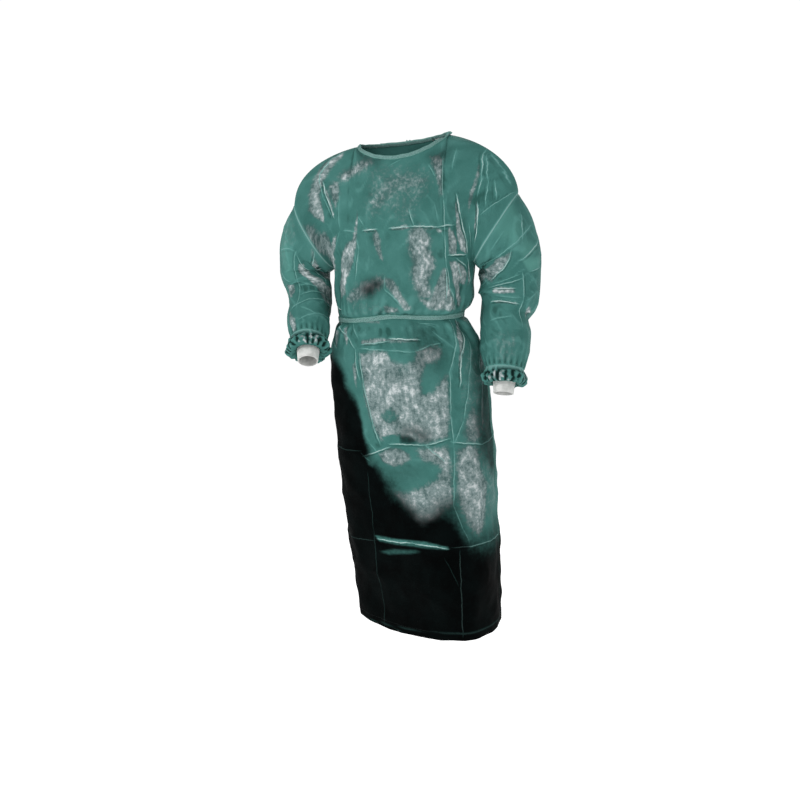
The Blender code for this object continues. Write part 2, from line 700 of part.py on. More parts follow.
def add_tie(name, points, normals, across, start_drop, tied, way):
    """A loose end of tape that hangs over the left back from its knot."""
    columns = np.arange(len(across))
    level = np.dstack([normals[..., :2], points[..., 2]])
    centres, out = [], []
    for share in np.linspace(0, 1, TIE_ROWS + 1):
        apart = way * (tied.apart + TIE_SPREAD * share)
        place = HALF_ROUND + apart + TIE_SWAY * share * math.sin(4 * share + way)
        column = float(np.interp(place, across, columns))
        drop = start_drop + tied.length * share
        normal = unit(cloth_at(level, column, drop) * [1, 1, 0])
        centres.append(cloth_at(points, column, drop) + normal * tied.lift)
        out.append(normal)
    centres, out = np.array(centres), np.array(out)
    sideways = unit(np.cross(unit(np.gradient(centres, axis=0)), out))
    add_tape(name, centres, out, sideways, TIE_WIDTH / 2, TAPE / 2)


def add_fastening(name, foot, normal, tied, points, normals, across):
    add_knot(name + "_knot", foot, normal, tied)
    start_drop = tied.tall + SEAM_GAP - foot[2]
    for number, way in ((1, -1), (2, 1)):
        add_tie(f"{name}_tie_{number}", points, normals, across, start_drop, tied, way)


def main():
    clear_scene()
    bpy.context.scene.collection.children.link(bpy.data.collections.new(COLLECTION))
    grids, normals, paths, across = drape()
    for name in grids:
        add_panel(name, grids[name], normals[name], name in paths)
    add_cuff("cuff_left", paths["sleeve_left"], 1)
    add_cuff("cuff_right", paths["sleeve_right"], -1)
    outer_back = grids["back_left"], normals["back_left"], across["back_left"]
    add_fastening("neck", *add_binding(grids, normals), NECK_TIED, *outer_back)
    add_fastening("belt", *add_belt(grids, normals), BELT_TIED, *outer_back)


main()
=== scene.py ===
"""Visitor gown: the cloth, trim, cuffs and stitches of a worn gown, made on its fixed frame.

Laid out as an add-on and run as a script. Lengths are in metres, in the frame of the solids: +X is the
wearer's left, -Y the front and +Z up. An "across" is a distance over the cloth from the centre front, a
"drop" a distance below the origin, and a "run" the same distance measured over the cloth.
"""

import math
from collections import namedtuple

import bmesh
import bpy
import numpy as np
from mathutils import Matrix, Vector


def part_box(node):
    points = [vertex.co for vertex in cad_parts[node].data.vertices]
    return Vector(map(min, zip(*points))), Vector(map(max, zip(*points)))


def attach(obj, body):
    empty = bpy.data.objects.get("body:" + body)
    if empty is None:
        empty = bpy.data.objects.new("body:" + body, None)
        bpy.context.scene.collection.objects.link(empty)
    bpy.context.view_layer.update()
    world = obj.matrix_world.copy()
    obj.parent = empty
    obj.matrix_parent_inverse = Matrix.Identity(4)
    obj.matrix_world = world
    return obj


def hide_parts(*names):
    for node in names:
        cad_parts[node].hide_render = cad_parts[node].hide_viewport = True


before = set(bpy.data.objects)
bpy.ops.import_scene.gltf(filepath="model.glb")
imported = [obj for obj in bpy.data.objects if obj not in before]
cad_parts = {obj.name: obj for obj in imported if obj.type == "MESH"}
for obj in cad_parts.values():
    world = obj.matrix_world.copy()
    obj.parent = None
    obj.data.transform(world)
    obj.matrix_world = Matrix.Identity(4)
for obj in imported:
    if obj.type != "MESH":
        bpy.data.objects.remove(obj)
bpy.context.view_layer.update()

bl_info = {
    "name": "Visitor gown",
    "version": (1, 0, 0),
    "blender": (4, 5, 0),
    "location": "View3D > Sidebar > Gown",
    "description": "Makes the cloth, trim, cuffs and stitches of a worn visitor gown on its frame",
    "category": "Object",
}


def rows_of(kind, *rows):
    """A table whose rows can be read by the names of their columns."""
    return tuple(kind(*row) for row in rows)


# The gaps that keep a strip off the cloth and one panel off the next, and the thickness of a strip
SEAM_GAP = 0.0004
EDGE_GAP = 0.0001
TAPE = 0.0014

# The cut, measured over the cloth
LENGTH = 1.22
HALF_ROUND = 0.62
SIDE_SEAM = HALF_ROUND / 2
LAP_RISE = 0.0022
LAP_START = 0.45
LAP_FULL = 0.53

# The neck opening and the shoulders
NECK_ACROSS = 0.155
NECK_ACROSS_BACK = 0.48
NECK_HALF_WIDTH = 0.113
NECK_FRONT = 0.088
NECK_BACK = 0.062
NECK_Y = 0.008
NECK_FRONT_DROP = 0.042
NECK_BACK_DROP = 0.010
NECK_TILT = 0.075
NECK_CURVE = 1.6
SHOULDER_TIP_X = 0.276
SHOULDER_TIP_DROP = 0.140
SHOULDER_STRAIGHT = 0.35
ARMPIT_DROP = 0.300
ARMHOLE_FRONT = 0.080
ARMHOLE_BACK = 0.074
ARMHOLE_POWER = 6

# How round the cloth turns over the shoulders: least at the middle, all of it past a share of the width
ROUNDED_LEAST = 0.35
ROUNDED_WIDTH = 0.6

# The belt's place
BELT_DROP = 0.424
BELT_HALF_HEIGHT = 0.006
BELT_ARCH = 0.010
BELT_ARCH_ACROSS = 0.11
BELT_ARCH_DROP = 0.05

# One row for each level of the body, from the armpit to the hem
Section = namedtuple("Section", "drop centre_x centre_y half_width front back squareness")
SECTIONS = rows_of(
    Section,
    (0.300, -0.011, 0.000, 0.172, 0.128, 0.120, 2.3),
    (0.345, -0.014, 0.000, 0.171, 0.130, 0.118, 2.3),
    (0.385, -0.018, 0.000, 0.168, 0.130, 0.112, 2.2),
    (0.406, -0.021, 0.000, 0.162, 0.122, 0.106, 2.2),
    (0.424, -0.025, 0.000, 0.153, 0.109, 0.098, 2.2),
    (0.446, -0.025, 0.004, 0.163, 0.114, 0.112, 2.2),
    (0.485, -0.022, 0.010, 0.180, 0.124, 0.138, 2.3),
    (0.560, -0.020, 0.022, 0.192, 0.130, 0.152, 2.4),
    (0.660, -0.016, 0.034, 0.196, 0.138, 0.164, 2.4),
    (0.735, -0.015, 0.044, 0.196, 0.146, 0.171, 2.4),
    (0.860, -0.011, 0.054, 0.195, 0.160, 0.178, 2.3),
    (0.975, -0.009, 0.058, 0.192, 0.170, 0.180, 2.3),
    (1.100, -0.007, 0.062, 0.188, 0.172, 0.182, 2.3),
    (1.220, -0.006, 0.064, 0.184, 0.172, 0.184, 2.3),
)

# Where the stance carries the skirt: the left knee is forward and the right side back
Push = namedtuple("Push", "across drop across_reach drop_reach x y rise")
PUSHES = rows_of(
    Push,
    (0.125, 1.010, 0.150, 0.260, 0.008, -0.045, 0.000),
    (-0.140, 1.260, 0.170, 0.300, -0.004, 0.075, 0.006),
    (-0.340, 1.250, 0.180, 0.220, 0.002, 0.010, 0.030),
)

# A ripple of noise: the seed it is drawn from, how wide it is and how high
Ripple = namedtuple("Ripple", "seed cell height")

# Soft folds. Each is deepest where it starts and has run out where it ends
FOLD_START = 8
ARMHOLE_FADE = 0.06
Fold = namedtuple("Fold", "across drop end_across end_drop width depth")
BODY_FOLDS = rows_of(
    Fold,
    (0.190, 0.436, 0.185, 0.640, 0.026, 0.010),
    (0.235, 0.436, 0.240, 0.560, 0.022, -0.008),
    (0.275, 0.440, 0.290, 0.640, 0.026, 0.008),
    (-0.205, 0.436, -0.215, 0.600, 0.026, 0.009),
    (-0.250, 0.436, -0.260, 0.560, 0.022, -0.008),
    (-0.290, 0.440, -0.300, 0.620, 0.026, 0.008),
    (0.410, 0.440, 0.400, 0.760, 0.034, 0.012),
    (0.480, 0.440, 0.480, 0.700, 0.030, -0.009),
    (-0.410, 0.440, -0.420, 0.740, 0.034, 0.012),
    (-0.480, 0.440, -0.480, 0.720, 0.030, -0.009),
    (0.185, 0.412, 0.160, 0.215, 0.026, 0.009),
    (0.235, 0.412, 0.225, 0.250, 0.024, -0.007),
    (-0.175, 0.412, -0.160, 0.250, 0.026, 0.008),
    (-0.230, 0.412, -0.220, 0.270, 0.024, -0.007),
    (0.400, 0.412, 0.380, 0.260, 0.032, 0.010),
    (-0.400, 0.412, -0.380, 0.260, 0.032, 0.010),
    (0.155, 1.220, 0.150, 0.760, 0.034, 0.008),
    (0.470, 1.220, 0.450, 0.800, 0.050, 0.014),
    (-0.520, 1.220, -0.500, 0.820, 0.050, 0.012),
    (-0.060, 0.400, -0.110, 0.330, 0.040, 0.008),
    (0.050, 0.400, 0.070, 0.330, 0.040, 0.006),
)

# One row for each level of a sleeve, as a share of its length. x is outwards on either side
ArmRing = namedtuple("ArmRing", "along x y drop wide deep")
LEFT_ARM = rows_of(
    ArmRing,
    (0.00, 0.2240, 0.000, 0.220, 0.078, 0.078),
    (0.16, 0.2475, 0.006, 0.262, 0.074, 0.081),
    (0.36, 0.2490, 0.016, 0.326, 0.075, 0.080),
    (0.54, 0.2420, 0.012, 0.388, 0.069, 0.074),
    (0.68, 0.2310, 0.000, 0.432, 0.060, 0.069),
    (0.80, 0.2330, -0.018, 0.478, 0.061, 0.066),
    (0.92, 0.2330, -0.038, 0.526, 0.056, 0.060),
    (1.00, 0.2310, -0.050, 0.558, 0.045, 0.048),
)
RIGHT_ARM = rows_of(
    ArmRing,
    (0.00, 0.2240, 0.000, 0.220, 0.078, 0.078),
    (0.18, 0.2570, 0.008, 0.258, 0.066, 0.086),
    (0.38, 0.2630, 0.012, 0.312, 0.061, 0.086),
    (0.56, 0.2540, -0.004, 0.362, 0.053, 0.080),
    (0.72, 0.2460, -0.036, 0.402, 0.050, 0.072),
    (0.87, 0.2430, -0.072, 0.440, 0.050, 0.064),
    (1.00, 0.2400, -0.096, 0.468, 0.043, 0.050),
)
ARM_BLEND = 0.42
ARM_STEP = 0.01

# Folds of a sleeve. Around runs from the outside, 0, by the front, 0.25, to the inside, 0.5
ARM_ROUND = 0.45
ARM_LENGTH = 0.36
ARM_FADE_START = 0.12
ARM_FADE_END = 0.08
ArmFold = namedtuple("ArmFold", "around along end_around end_along width depth")
ARM_FOLDS = rows_of(
    ArmFold,
    (0.42, 0.10, 0.16, 0.30, 0.022, -0.008),
    (0.44, 0.34, 0.16, 0.46, 0.020, -0.008),
    (0.45, 0.52, 0.14, 0.56, 0.018, 0.007),
    (0.46, 0.66, 0.10, 0.68, 0.018, -0.007),
    (0.58, 0.12, 0.84, 0.34, 0.022, -0.008),
    (0.56, 0.50, 0.86, 0.62, 0.020, -0.007),
)

# The gathered end that droops over the cuff, each row some way past the gather line
Ruffle = namedtuple("Ruffle", "past radius waves")
RUFFLE = rows_of(
    Ruffle,
    (0.008, 0.0490, 0.4),
    (0.018, 0.0530, 1.0),
    (0.028, 0.0520, 1.0),
    (0.036, 0.0450, 0.8),
    (0.035, 0.0360, 0.3),
    (0.029, 0.0281, 0.0),
)
RUFFLE_RUN = 0.05
RUFFLE_WAVE = 0.0032
RUFFLE_CRINKLE = 0.0070
RUFFLE_RAGGED = 0.0035
RUFFLE_DIP = 0.0015
RUFFLE_DIPS = 3

# How the ruffles are painted: the painted light and shade of their ridges and hollows made stronger and darker,
# their painted highlights and their painted shade
RUFFLE_CONTRAST = 1.7
RUFFLE_DARKER = 0.35
RUFFLE_SHINE = 1.1
RUFFLE_SHADE = 0.55

CUFF_RADIUS = 0.0275
CUFF_TAPER = 0.0035
CUFF_TOP = 0.022
CUFF_LENGTH = 0.037
CUFF_WALL = 0.0018
CUFF_STEPS = 96
RIB_SUNK = 0.0003

# The levels of a cuff's wall as shares of its length, and how far each swells, less at its turned edge
CUFF_LEVELS = ((0.0, 0.0), (0.25, 0.0), (0.5, 0.0), (0.75, 0.0), (0.93, 0.0), (0.98, -0.0002), (1.0, -0.0008))

BINDING_HEIGHT = 0.0095
BINDING_THICKNESS = 0.0034
BELT_SWELL = 0.0010
BELT_PLEAT = 0.0005
BELT_UNEVEN = 0.10
BINDING_WANDER = 0.0006

# The tied ends behind
TIE_WIDTH = 0.013
TIE_SWAY = 0.003
TIE_SPREAD = 0.009
TIE_LEAN = 0.30
TIE_BELOW_TOP = 0.004
TIE_STEPS = 64
TIE_SMOOTHINGS = 6
TIE_STAND = 0.0016
TIE_FLUTTER = 0.0014
TAPE_CORNERS = 18
TAPE_HOLLOW = 0.20
TIE_NARROWED = 0.78
KNOT_STRIP = 0.0011
Tied = namedtuple("Tied", "wide deep tall length lift apart")
NECK_TIED = Tied(0.0100, 0.0055, 0.0070, 0.150, 0.0016, 0.0074)
BELT_TIED = Tied(0.0120, 0.0065, 0.0095, 0.300, 0.0022, 0.0112)

# Creases that only the looks have, painted as pale highlight lines with painted shade along one side: how
# strongly each shows, and its corners, each its across and its drop in millimetres
Line = namedtuple("Line", "light places")
Crease = namedtuple("Crease", "across drop end_across end_drop light")
BODY_LINES = rows_of(
    Line,
    # across the chest, the shoulders and the arms
    (0.67, (-174, 20, -196, 38, -222, 69, -232, 90)),
    (1.13, (-223, 93, -224, 120, -215, 149, -207, 173)),
    (0.5, (-232, 90, -234, 127, -217, 170)),
    (0.35, (-181, 120, -186, 204, -227, 254)),
    (0.55, (-119, 227, -113, 254, -129, 320)),
    (0.6, (-111, 174, -97, 192)),
    (0.5, (-169, 205, -123, 208)),
    (0.95, (-97, 206, -56, 204)),
    (0.77, (-15, 204, 41, 201, 135, 205, 189, 203)),
    (0.7, (39, 163, 54, 198)),
    (0.57, (143, 44, 155, 140, 158, 219, 158, 298, 172, 352, 214, 405)),
    (0.4, (121, 152, 136, 191)),
    (0.45, (176, 30, 173, 72)),
    (0.57, (217, 34, 237, 93, 244, 136)),
    (0.98, (251, 158, 270, 206, 280, 246)),
    (0.45, (225, 45, 251, 106, 270, 163)),
    (0.95, (192, 133, 209, 186, 235, 240, 237, 275)),
    (0.95, (169, 274, 231, 276)),
    (0.7, (193, 283, 238, 307)),
    (0.5, (242, 205, 264, 267)),
    (0.8, (240, 285, 264, 349)),
    (0.6, (193, 293, 220, 338)),
    (0.45, (-34, 317, -32, 346, 26, 384)),
    (0.9, (-276, 378, -211, 408)),
    (0.6, (155, 306, 168, 377)),
    (0.5, (301, 373, 293, 408)),
    (0.4, (226, 41, 256, 79, 288, 118)),
    (0.5, (262, 107, 281, 146)),
    (0.7, (300, 137, 291, 149, 278, 167, 270, 180)),
    (0.35, (7, 43, -17, 57)),
    (0.5, (83, 59, 116, 87)),
    # below the belt
    (0.6, (-249, 424, -160, 461, -127, 491, -114, 565)),
    (0.85, (-200, 488, -244, 441)),
    (0.6, (-110, 500, -102, 577, -82, 678, -68, 726)),
    (0.6, (-109, 480, -18, 473)),
    (0.85, (-18, 466, 74, 472)),
    (0.45, (-111, 489, -25, 494, 54, 501)),
    (0.5, (57, 500, 101, 487, 135, 483)),
    (0.52, (209, 427, 142, 554, 128, 659, 129, 729)),
    (0.92, (239, 431, 233, 456, 182, 516, 165, 592)),
    (0.48, (239, 464, 193, 577, 164, 675, 130, 728)),
    (0.5, (259, 513, 229, 671)),
    (0.75, (-114, 757, -41, 732)),
    (0.72, (-41, 725, 55, 728, 117, 716)),
    (0.6, (123, 724, 216, 741)),
    (0.55, (56, 730, 100, 768)),
    (0.45, (129, 741, 114, 878, 134, 937, 147, 969)),
    (0.5, (-121, 751, -101, 767)),
    (0.4, (-95, 727, -70, 750)),
    (0.43, (-107, 799, -107, 947, -105, 1102, -102, 1209)),
    (0.82, (-101, 969, 4, 968, 95, 979)),
    (0.6, (103, 976, 301, 984)),
    (0.65, (122, 988, 117, 1206)),
    (0.35, (82, 1005, 113, 1074)),
    (0.35, (-78, 1203, -37, 1211)),
    (0.4, (109, 436, 138, 444)),
    (0.4, (125, 454, 149, 479)),
    (0.45, (-160, 429, -121, 466)),
    (0.4, (86, 432, 142, 438)),
    # behind
    (0.45, (375, 60, 378, 1215)),
    (0.45, (-375, 60, -372, 1215)),
    (0.4, (310, 207, 690, 205)),
    (0.4, (-690, 205, -310, 207)),
    (0.45, (310, 486, 690, 484)),
    (0.45, (-690, 484, -310, 486)),
    (0.5, (205, 740, 690, 732)),
    (0.5, (-690, 732, -125, 745)),
    (0.55, (310, 978, 690, 972)),
    (0.55, (-690, 972, -105, 974)),
)

# Painted sheen, grey highlights on the coated cloth: how much, how soft the edge is, the corners of its outline
Patch = namedtuple("Patch", "amount soft outline")
SHEEN = rows_of(
    Patch,
    (1.12, 5, (
        -197, 36, -175, 19, -175, 30, -197, 57, -222, 89, -241, 118, -245, 140, -247, 172, -255, 186, -274, 171, -281,
        153, -271, 134, -266, 116, -239, 80, -216, 54,
    )),
    (0.95, 8, (-182, 77, -171, 64, -148, 55, -108, 39, -62, 38, -61, 50, -92, 64, -132, 77, -166, 91, -184, 90)),
    (0.95, 6, (-211, 95, -186, 87, -180, 98, -184, 129, -199, 153, -207, 137, -213, 115)),
    (0.5, 14, (
        -80, 144, -61, 114, -40, 83, 0, 65, 35, 67, 89, 82, 108, 99, 70, 122, 33, 129, 4, 132, -15, 149, -35, 163,
        -61, 169,
    )),
    (0.82, 6, (84, 40, 124, 37, 145, 49, 154, 132, 145, 135, 132, 107, 115, 83, 95, 59)),
    (0.95, 3, (228, 162, 225, 127, 227, 96, 222, 64, 232, 88, 235, 123, 235, 157, 232, 172)),
    (0.98, 5, (
        -196, 312, -188, 262, -159, 235, -132, 225, -118, 234, -128, 262, -145, 298, -161, 329, -170, 358, -224, 373,
    )),
    (0.8, 8, (
        -174, 372, -157, 354, -127, 335, -88, 322, -46, 314, -33, 321, -32, 337, -48, 350, -74, 356, -107, 369, -137,
        380, -156, 380,
    )),
    (0.9, 5, (-34, 317, -10, 322, 10, 340, 25, 362, 49, 383, 61, 392, 38, 394, 18, 381, -7, 357, -28, 339)),
    (0.92, 8, (
        45, 206, 72, 199, 101, 212, 113, 234, 108, 256, 124, 279, 124, 305, 108, 326, 109, 348, 133, 376, 105, 375,
        80, 373, 61, 346, 48, 315, 53, 284, 40, 258, 37, 232,
    )),
    (0.9, 5, (
        113, 376, 123, 349, 136, 323, 149, 302, 160, 305, 168, 342, 183, 369, 230, 409, 185, 404, 142, 403, 111, 397,
        80, 374, 97, 371,
    )),
    (0.8, 4, (-67, 210, -54, 206, -44, 228, -42, 255, -35, 282, -49, 273, -62, 250, -70, 228)),
    (1.15, 2.5, (-97, 206, -56, 203, -55, 207, -97, 210)),
    (1.15, 2.5, (-15, 201, 40, 199, 40, 206, 17, 208, -11, 207)),
    (0.75, 3, (45, 204, 135, 205, 154, 219, 139, 223, 129, 212, 50, 210)),
    (1.0, 4, (170, 207, 190, 220, 201, 239, 195, 273, 170, 273, 169, 241)),
    (1.05, 2.5, (191, 138, 201, 168, 211, 204, 232, 240, 235, 274, 214, 266, 203, 239, 196, 194, 191, 163)),
    (1.1, 4, (169, 289, 194, 289, 228, 307, 244, 325, 243, 349, 214, 343, 246, 386, 248, 409, 215, 382, 181, 339)),
    (0.9, 2.5, (244, 294, 256, 309, 261, 336, 261, 358, 246, 326)),
    (0.9, 3, (-229, 226, -204, 214, -220, 245, -252, 273, -255, 256)),
    (0.85, 4, (-36, 387, -14, 387, 15, 391, 19, 401, -26, 406)),
    (0.85, 3, (-131, 422, -48, 422, -51, 429, -114, 427)),
    (0.6, 4, (151, 333, 159, 329, 170, 377, 161, 379)),
    (1.1, 2, (-224, 93, -221, 100, -214, 133, -205, 168, -210, 174, -221, 141, -228, 114)),
    (1.05, 2, (247, 153, 251, 156, 261, 189, 270, 224, 265, 223, 256, 188)),
    (1.0, 6, (
        -110, 502, -67, 495, -28, 497, -21, 512, -8, 523, 21, 528, 47, 523, 57, 500, 101, 487, 131, 495, 130, 514,
        105, 528, 79, 533, 70, 551, 59, 580, 61, 604, 90, 601, 114, 573, 135, 559, 131, 612, 126, 659, 116, 712, 92,
        717, 55, 725, 29, 721, 5, 709, -27, 705, -60, 717, -75, 703, -82, 678, -93, 648, -101, 619, -102, 577, -107,
        541,
    )),
    (-0.7, 5, (-65, 651, -48, 643, -32, 629, -24, 642, -8, 654, -18, 671, -37, 675, -56, 664)),
    (-1.2, 3, (-61, 707, -30, 704, -8, 712, -13, 724, -46, 721)),
    (-0.45, 8, (-9, 539, 24, 532, 44, 535, 31, 555, 1, 560)),
    (0.9, 3, (-109, 470, -69, 465, -18, 467, 35, 468, 75, 469, 69, 476, 26, 477, -40, 476, -85, 481, -108, 481)),
    (1.0, 5, (-74, 751, -42, 734, -13, 736, 10, 749, 14, 762, -12, 778, -40, 781, -66, 771)),
    (0.92, 7, (
        29, 741, 48, 733, 78, 737, 115, 733, 118, 786, 116, 844, 114, 877, 90, 888, 69, 916, 31, 932, 7, 922, -11,
        895, -28, 868, -41, 844, -6, 843, 38, 829, 77, 810, 89, 786, 75, 774, 45, 766,
    )),
    (0.92, 8, (
        136, 743, 168, 734, 202, 745, 204, 798, 227, 838, 225, 897, 206, 945, 178, 959, 156, 941, 133, 897, 123, 856,
        129, 788,
    )),
    (0.72, 8, (167, 675, 196, 637, 213, 663, 216, 717, 194, 739, 162, 734, 159, 705)),
    (1.0, 3, (-183, 440, -177, 438, -156, 469, -158, 483, -175, 461)),
    (0.8, 4, (-136, 532, -123, 519, -118, 554, -127, 590, -132, 566)),
    (1.1, 3, (238, 432, 247, 440, 217, 468, 178, 533, 166, 586, 172, 533, 189, 473)),
    (1.0, 2.5, (-208, 464, -257, 440, -199, 451, -195, 485, -199, 491)),
    (0.85, 3, (280, 479, 274, 499, 276, 548, 252, 567, 262, 520)),
    (0.8, 3, (247, 584, 253, 591, 240, 673, 221, 718, 227, 659)),
    (0.88, 6, (-304, 188, -284, 190, -285, 223, -285, 254, -290, 268, -310, 260, -310, 253, -312, 227)),
    (0.95, 7, (-297, 214, -260, 208, -236, 252, -231, 301, -284, 329)),
    (0.3, 16, (
        -78, 55, -34, 43, 7, 52, 70, 59, 113, 87, 105, 130, 69, 159, 49, 197, 17, 201, -25, 168, -70, 193, -94, 153,
    )),
    (0.3, 16, (198, 490, 310, 489, 284, 572, 301, 734, 304, 917, 180, 946, 143, 904, 149, 790, 161, 615)),
    (0.26, 12, (-156, 380, -121, 369, -60, 379, 25, 388, 20, 410, -67, 409, -158, 404)),
)

# The same outlines again on the hidden sides: which one, how far round and down it is moved, and its scale
Copy = namedtuple("Copy", "number across drop scale amount")
SHEEN_BEHIND = rows_of(
    Copy,
    (0, 660, 40, 1.0, 0.85),
    (9, 360, 20, 0.9, 0.80),
    (6, 640, 10, 1.0, 0.85),
    (10, 400, -10, 1.0, 0.80),
    (15, 330, 30, 1.1, 0.90),
    (25, 470, 20, 0.95, 0.90),
    (31, 480, 30, 1.0, 0.85),
    (32, 330, 10, 1.0, 0.80),
    (9, -560, 30, 1.0, 0.85),
    (6, -380, 0, -1.0, 0.85),
    (10, -640, 10, -0.9, 0.80),
    (0, -700, 60, -1.0, 0.80),
    (16, -340, 20, -1.0, 0.90),
    (25, -520, 10, -0.75, 0.75),
)

# How far down the deep shade starts at each across, and how softly, in millimetres
Shade = namedtuple("Shade", "across drop soft")
SHADE = rows_of(
    Shade,
    (-700, 800, 60),
    (-560, 760, 60),
    (-450, 610, 50),
    (-340, 520, 30),
    (-270, 500, 20),
    (-200, 505, 22),
    (-160, 565, 26),
    (-125, 625, 30),
    (-100, 725, 34),
    (-70, 788, 36),
    (-35, 830, 38),
    (20, 872, 42),
    (85, 900, 40),
    (150, 940, 40),
    (220, 955, 50),
    (310, 945, 55),
    (450, 930, 60),
    (580, 840, 60),
    (700, 800, 60),
)
# Patches of painted shade that darken the cloth further, added to the deep shade: how much, how soft, the outline
DEEPER_SHADE = rows_of(
    Patch,
    (0.62, 9, (
        -115, 347, -103, 332, -82, 325, -63, 322, -42, 325, -39, 341, -58, 348, -69, 363, -87, 365, -107, 356,
    )),
    (0.46, 9, (-126, 13, -82, 26, -48, 35, -33, 38, -49, 51, -88, 42, -117, 27)),
    (0.38, 9, (77, 38, 114, 29, 159, 21, 161, 39, 139, 56, 97, 53)),
    (0.58, 3, (-12, 704, 11, 703, 22, 707, 31, 716, 29, 724, 8, 725, -10, 723)),
    (0.36, 9, (-1, 683, 34, 681, 69, 699, 65, 719, 42, 723, 27, 707, -10, 702)),
    (0.62, 18, (69, 873, 118, 863, 134, 913, 123, 971, 71, 977, 36, 934)),
    (0.50, 16, (-43, 905, 24, 929, 72, 970, 17, 1011, -46, 978)),
    (0.50, 16, (230, 590, 322, 560, 318, 830, 262, 820, 200, 760, 194, 690)),
    (0.14, 16, (-95, 790, -60, 768, 0, 770, 45, 778, 40, 805, 0, 825, -40, 840, -80, 825)),
    (0.22, 16, (60, 420, 130, 440, 150, 500, 120, 560, 60, 545, 40, 480)),
)
# Painted light where folds in the deep shade catch the light: how much, how soft, the corners of its outline
FOLD_LIGHT = rows_of(
    Patch,
    (0.95, 3, (-106, 960, -83, 961, -15, 960, 35, 962, 95, 975, 94, 982, 46, 979, -3, 977, -62, 976, -94, 975)),
    (0.60, 4, (-98, 1002, -51, 989, 8, 985, 24, 990, -6, 998, -68, 1008)),
    (0.50, 5, (-111, 757, -62, 741, -42, 734, -64, 756, -91, 786, -104, 780)),
    (0.45, 4, (145, 976, 215, 973, 301, 984, 301, 989, 211, 979, 150, 984)),
)

# The same on the sleeves, in thousandths of the way round and along
LEFT_LINES = rows_of(
    Line,
    (0.6, (87, 101, 147, 174)),
    (0.6, (10, 216, 183, 250)),
    (0.75, (219, 193, 351, 426)),
    (0.6, (178, 395, 350, 489)),
    (0.4, (187, 360, 330, 453)),
    (0.55, (173, 347, 151, 550, 122, 783)),
    (1, (210, 472, 320, 496)),
    (0.95, (165, 595, 332, 637)),
    (0.4, (171, 543, 308, 575)),
    (0.4, (377, 428, 459, 500)),
    (0.5, (124, 545, 78, 498)),
    (0.45, (189, -7, 133, 21)),
    (0.35, (215, 83, 309, 75)),
    (0.4, (43, 157, 992, 224)),
    (0.4, (182, 733, 338, 742)),
    (0.6, (39, 332, 127, 342)),
    (0.6, (480, 100, 470, 640)),
    (0.45, (600, 100, 610, 920)),
    (0.6, (580, 380, 860, 480)),
    (0.6, (560, 620, 880, 700)),
    (0.5, (900, 150, 700, 330)),
    (0.5, (720, 500, 930, 560)),
    (0.5, (640, 760, 820, 830)),
)
RIGHT_LINES = rows_of(
    Line,
    (0.5, (58, 66, 33, 197)),
    (0.65, (260, 188, 358, 368, 422, 580)),
    (0.4, (58, 237, 228, 165)),
    (0.47, (239, 148, 230, 537, 194, 813)),
    (0.45, (132, 817, 544, 679)),
    (0.45, (215, 709, 542, 639)),
    (0.4, (224, 629, 381, 640)),
    (0.5, (498, 519, 558, 647)),
    (0.7, (315, 22, 492, 475)),
    (0.35, (17, 145, 179, 156)),
    (0.45, (100, 332, 177, 512)),
    (0.35, (227, 822, 358, 874)),
    (0.35, (197, 915, 528, 803)),
    (0.45, (620, 100, 610, 920)),
    (0.6, (580, 360, 860, 460)),
    (0.6, (560, 640, 880, 720)),
    (0.5, (900, 130, 700, 310)),
    (0.5, (740, 520, 940, 600)),
    (0.5, (650, 800, 830, 860)),
)
# Painted sheen on the sleeves: grey highlights on the coated cloth, in patches
LEFT_SHEEN = rows_of(
    Patch,
    (0.92, 5, (379, 431, 331, 236, 220, 192, 246, 240, 301, 338, 339, 431)),
    (0.75, 6, (508, 316, 398, 303, 381, 425, 468, 469)),
    (1.15, 3, (322, 491, 220, 469, 209, 493, 278, 527, 320, 523)),
    (0.95, 2.5, (319, 629, 178, 587, 165, 600, 278, 641)),
    (0.9, 4, (97, 608, 84, 577, 19, 653, 55, 706)),
    (0.92, 4, (397, 295, 316, 192, 210, 191, 244, 234, 284, 304, 352, 438, 401, 401)),
    (0.85, 3, (475, 26, 459, 336, 475, 447, 475, 487)),
    (1.1, 3, (322, 492, 274, 469, 200, 492, 207, 508, 278, 539, 322, 540)),
    (0.9, 3, (94, 621, 73, 584, 20, 623, 45, 724)),
    (0.3, 12, (314, 829, 170, 820, 147, 942, 201, 992, 310, 982)),
)
RIGHT_SHEEN = rows_of(
    Patch,
    (1.1, 6, (294, 17, 532, 340, 600, 434, 409, 464, 358, 62)),
    (1.15, 4, (265, 243, 300, 219, 339, 474, 424, 585, 419, 618, 328, 608, 295, 467, 257, 410)),
    (1.05, 4, (374, 657, 499, 592, 539, 647, 450, 684)),
    (0.9, 4, (128, 506, 149, 606, 142, 700, 103, 667)),
    (0.7, 4, (126, 878, 176, 891, 161, 956, 118, 937)),
    (1.15, 2, (377, 92, 450, 332, 496, 473, 414, 506)),
    (1.2, 3, (331, 71, 375, 57, 517, 421, 486, 501, 416, 471, 389, 330)),
    (1.1, 4, (269, 216, 322, 426, 387, 576, 485, 568, 507, 684, 413, 733, 379, 666, 315, 619, 268, 426)),
    (0.95, 3, (131, 492, 185, 592, 165, 671, 114, 696)),
    (0.85, 4, (115, 801, 178, 897, 172, 1003, 147, 1038, 109, 906)),
    (0.3, 12, (8, 132, 98, 40, 176, 47, 213, 119, 179, 183, 79, 173)),
)
LEFT_PALE = rows_of(
    Patch,
    (0.8, 3, (172, 248, 16, 280, 39, 332, 132, 344, 151, 305)),
    (0.4, 6, (200, -7, 100, -7, 99, 12, 105, 109, 120, 159, 194, 182, 239, 102, 254, 7)),
    (0.45, 5, (146, 175, 92, 200, 47, 247, 161, 248, 181, 205)),
)
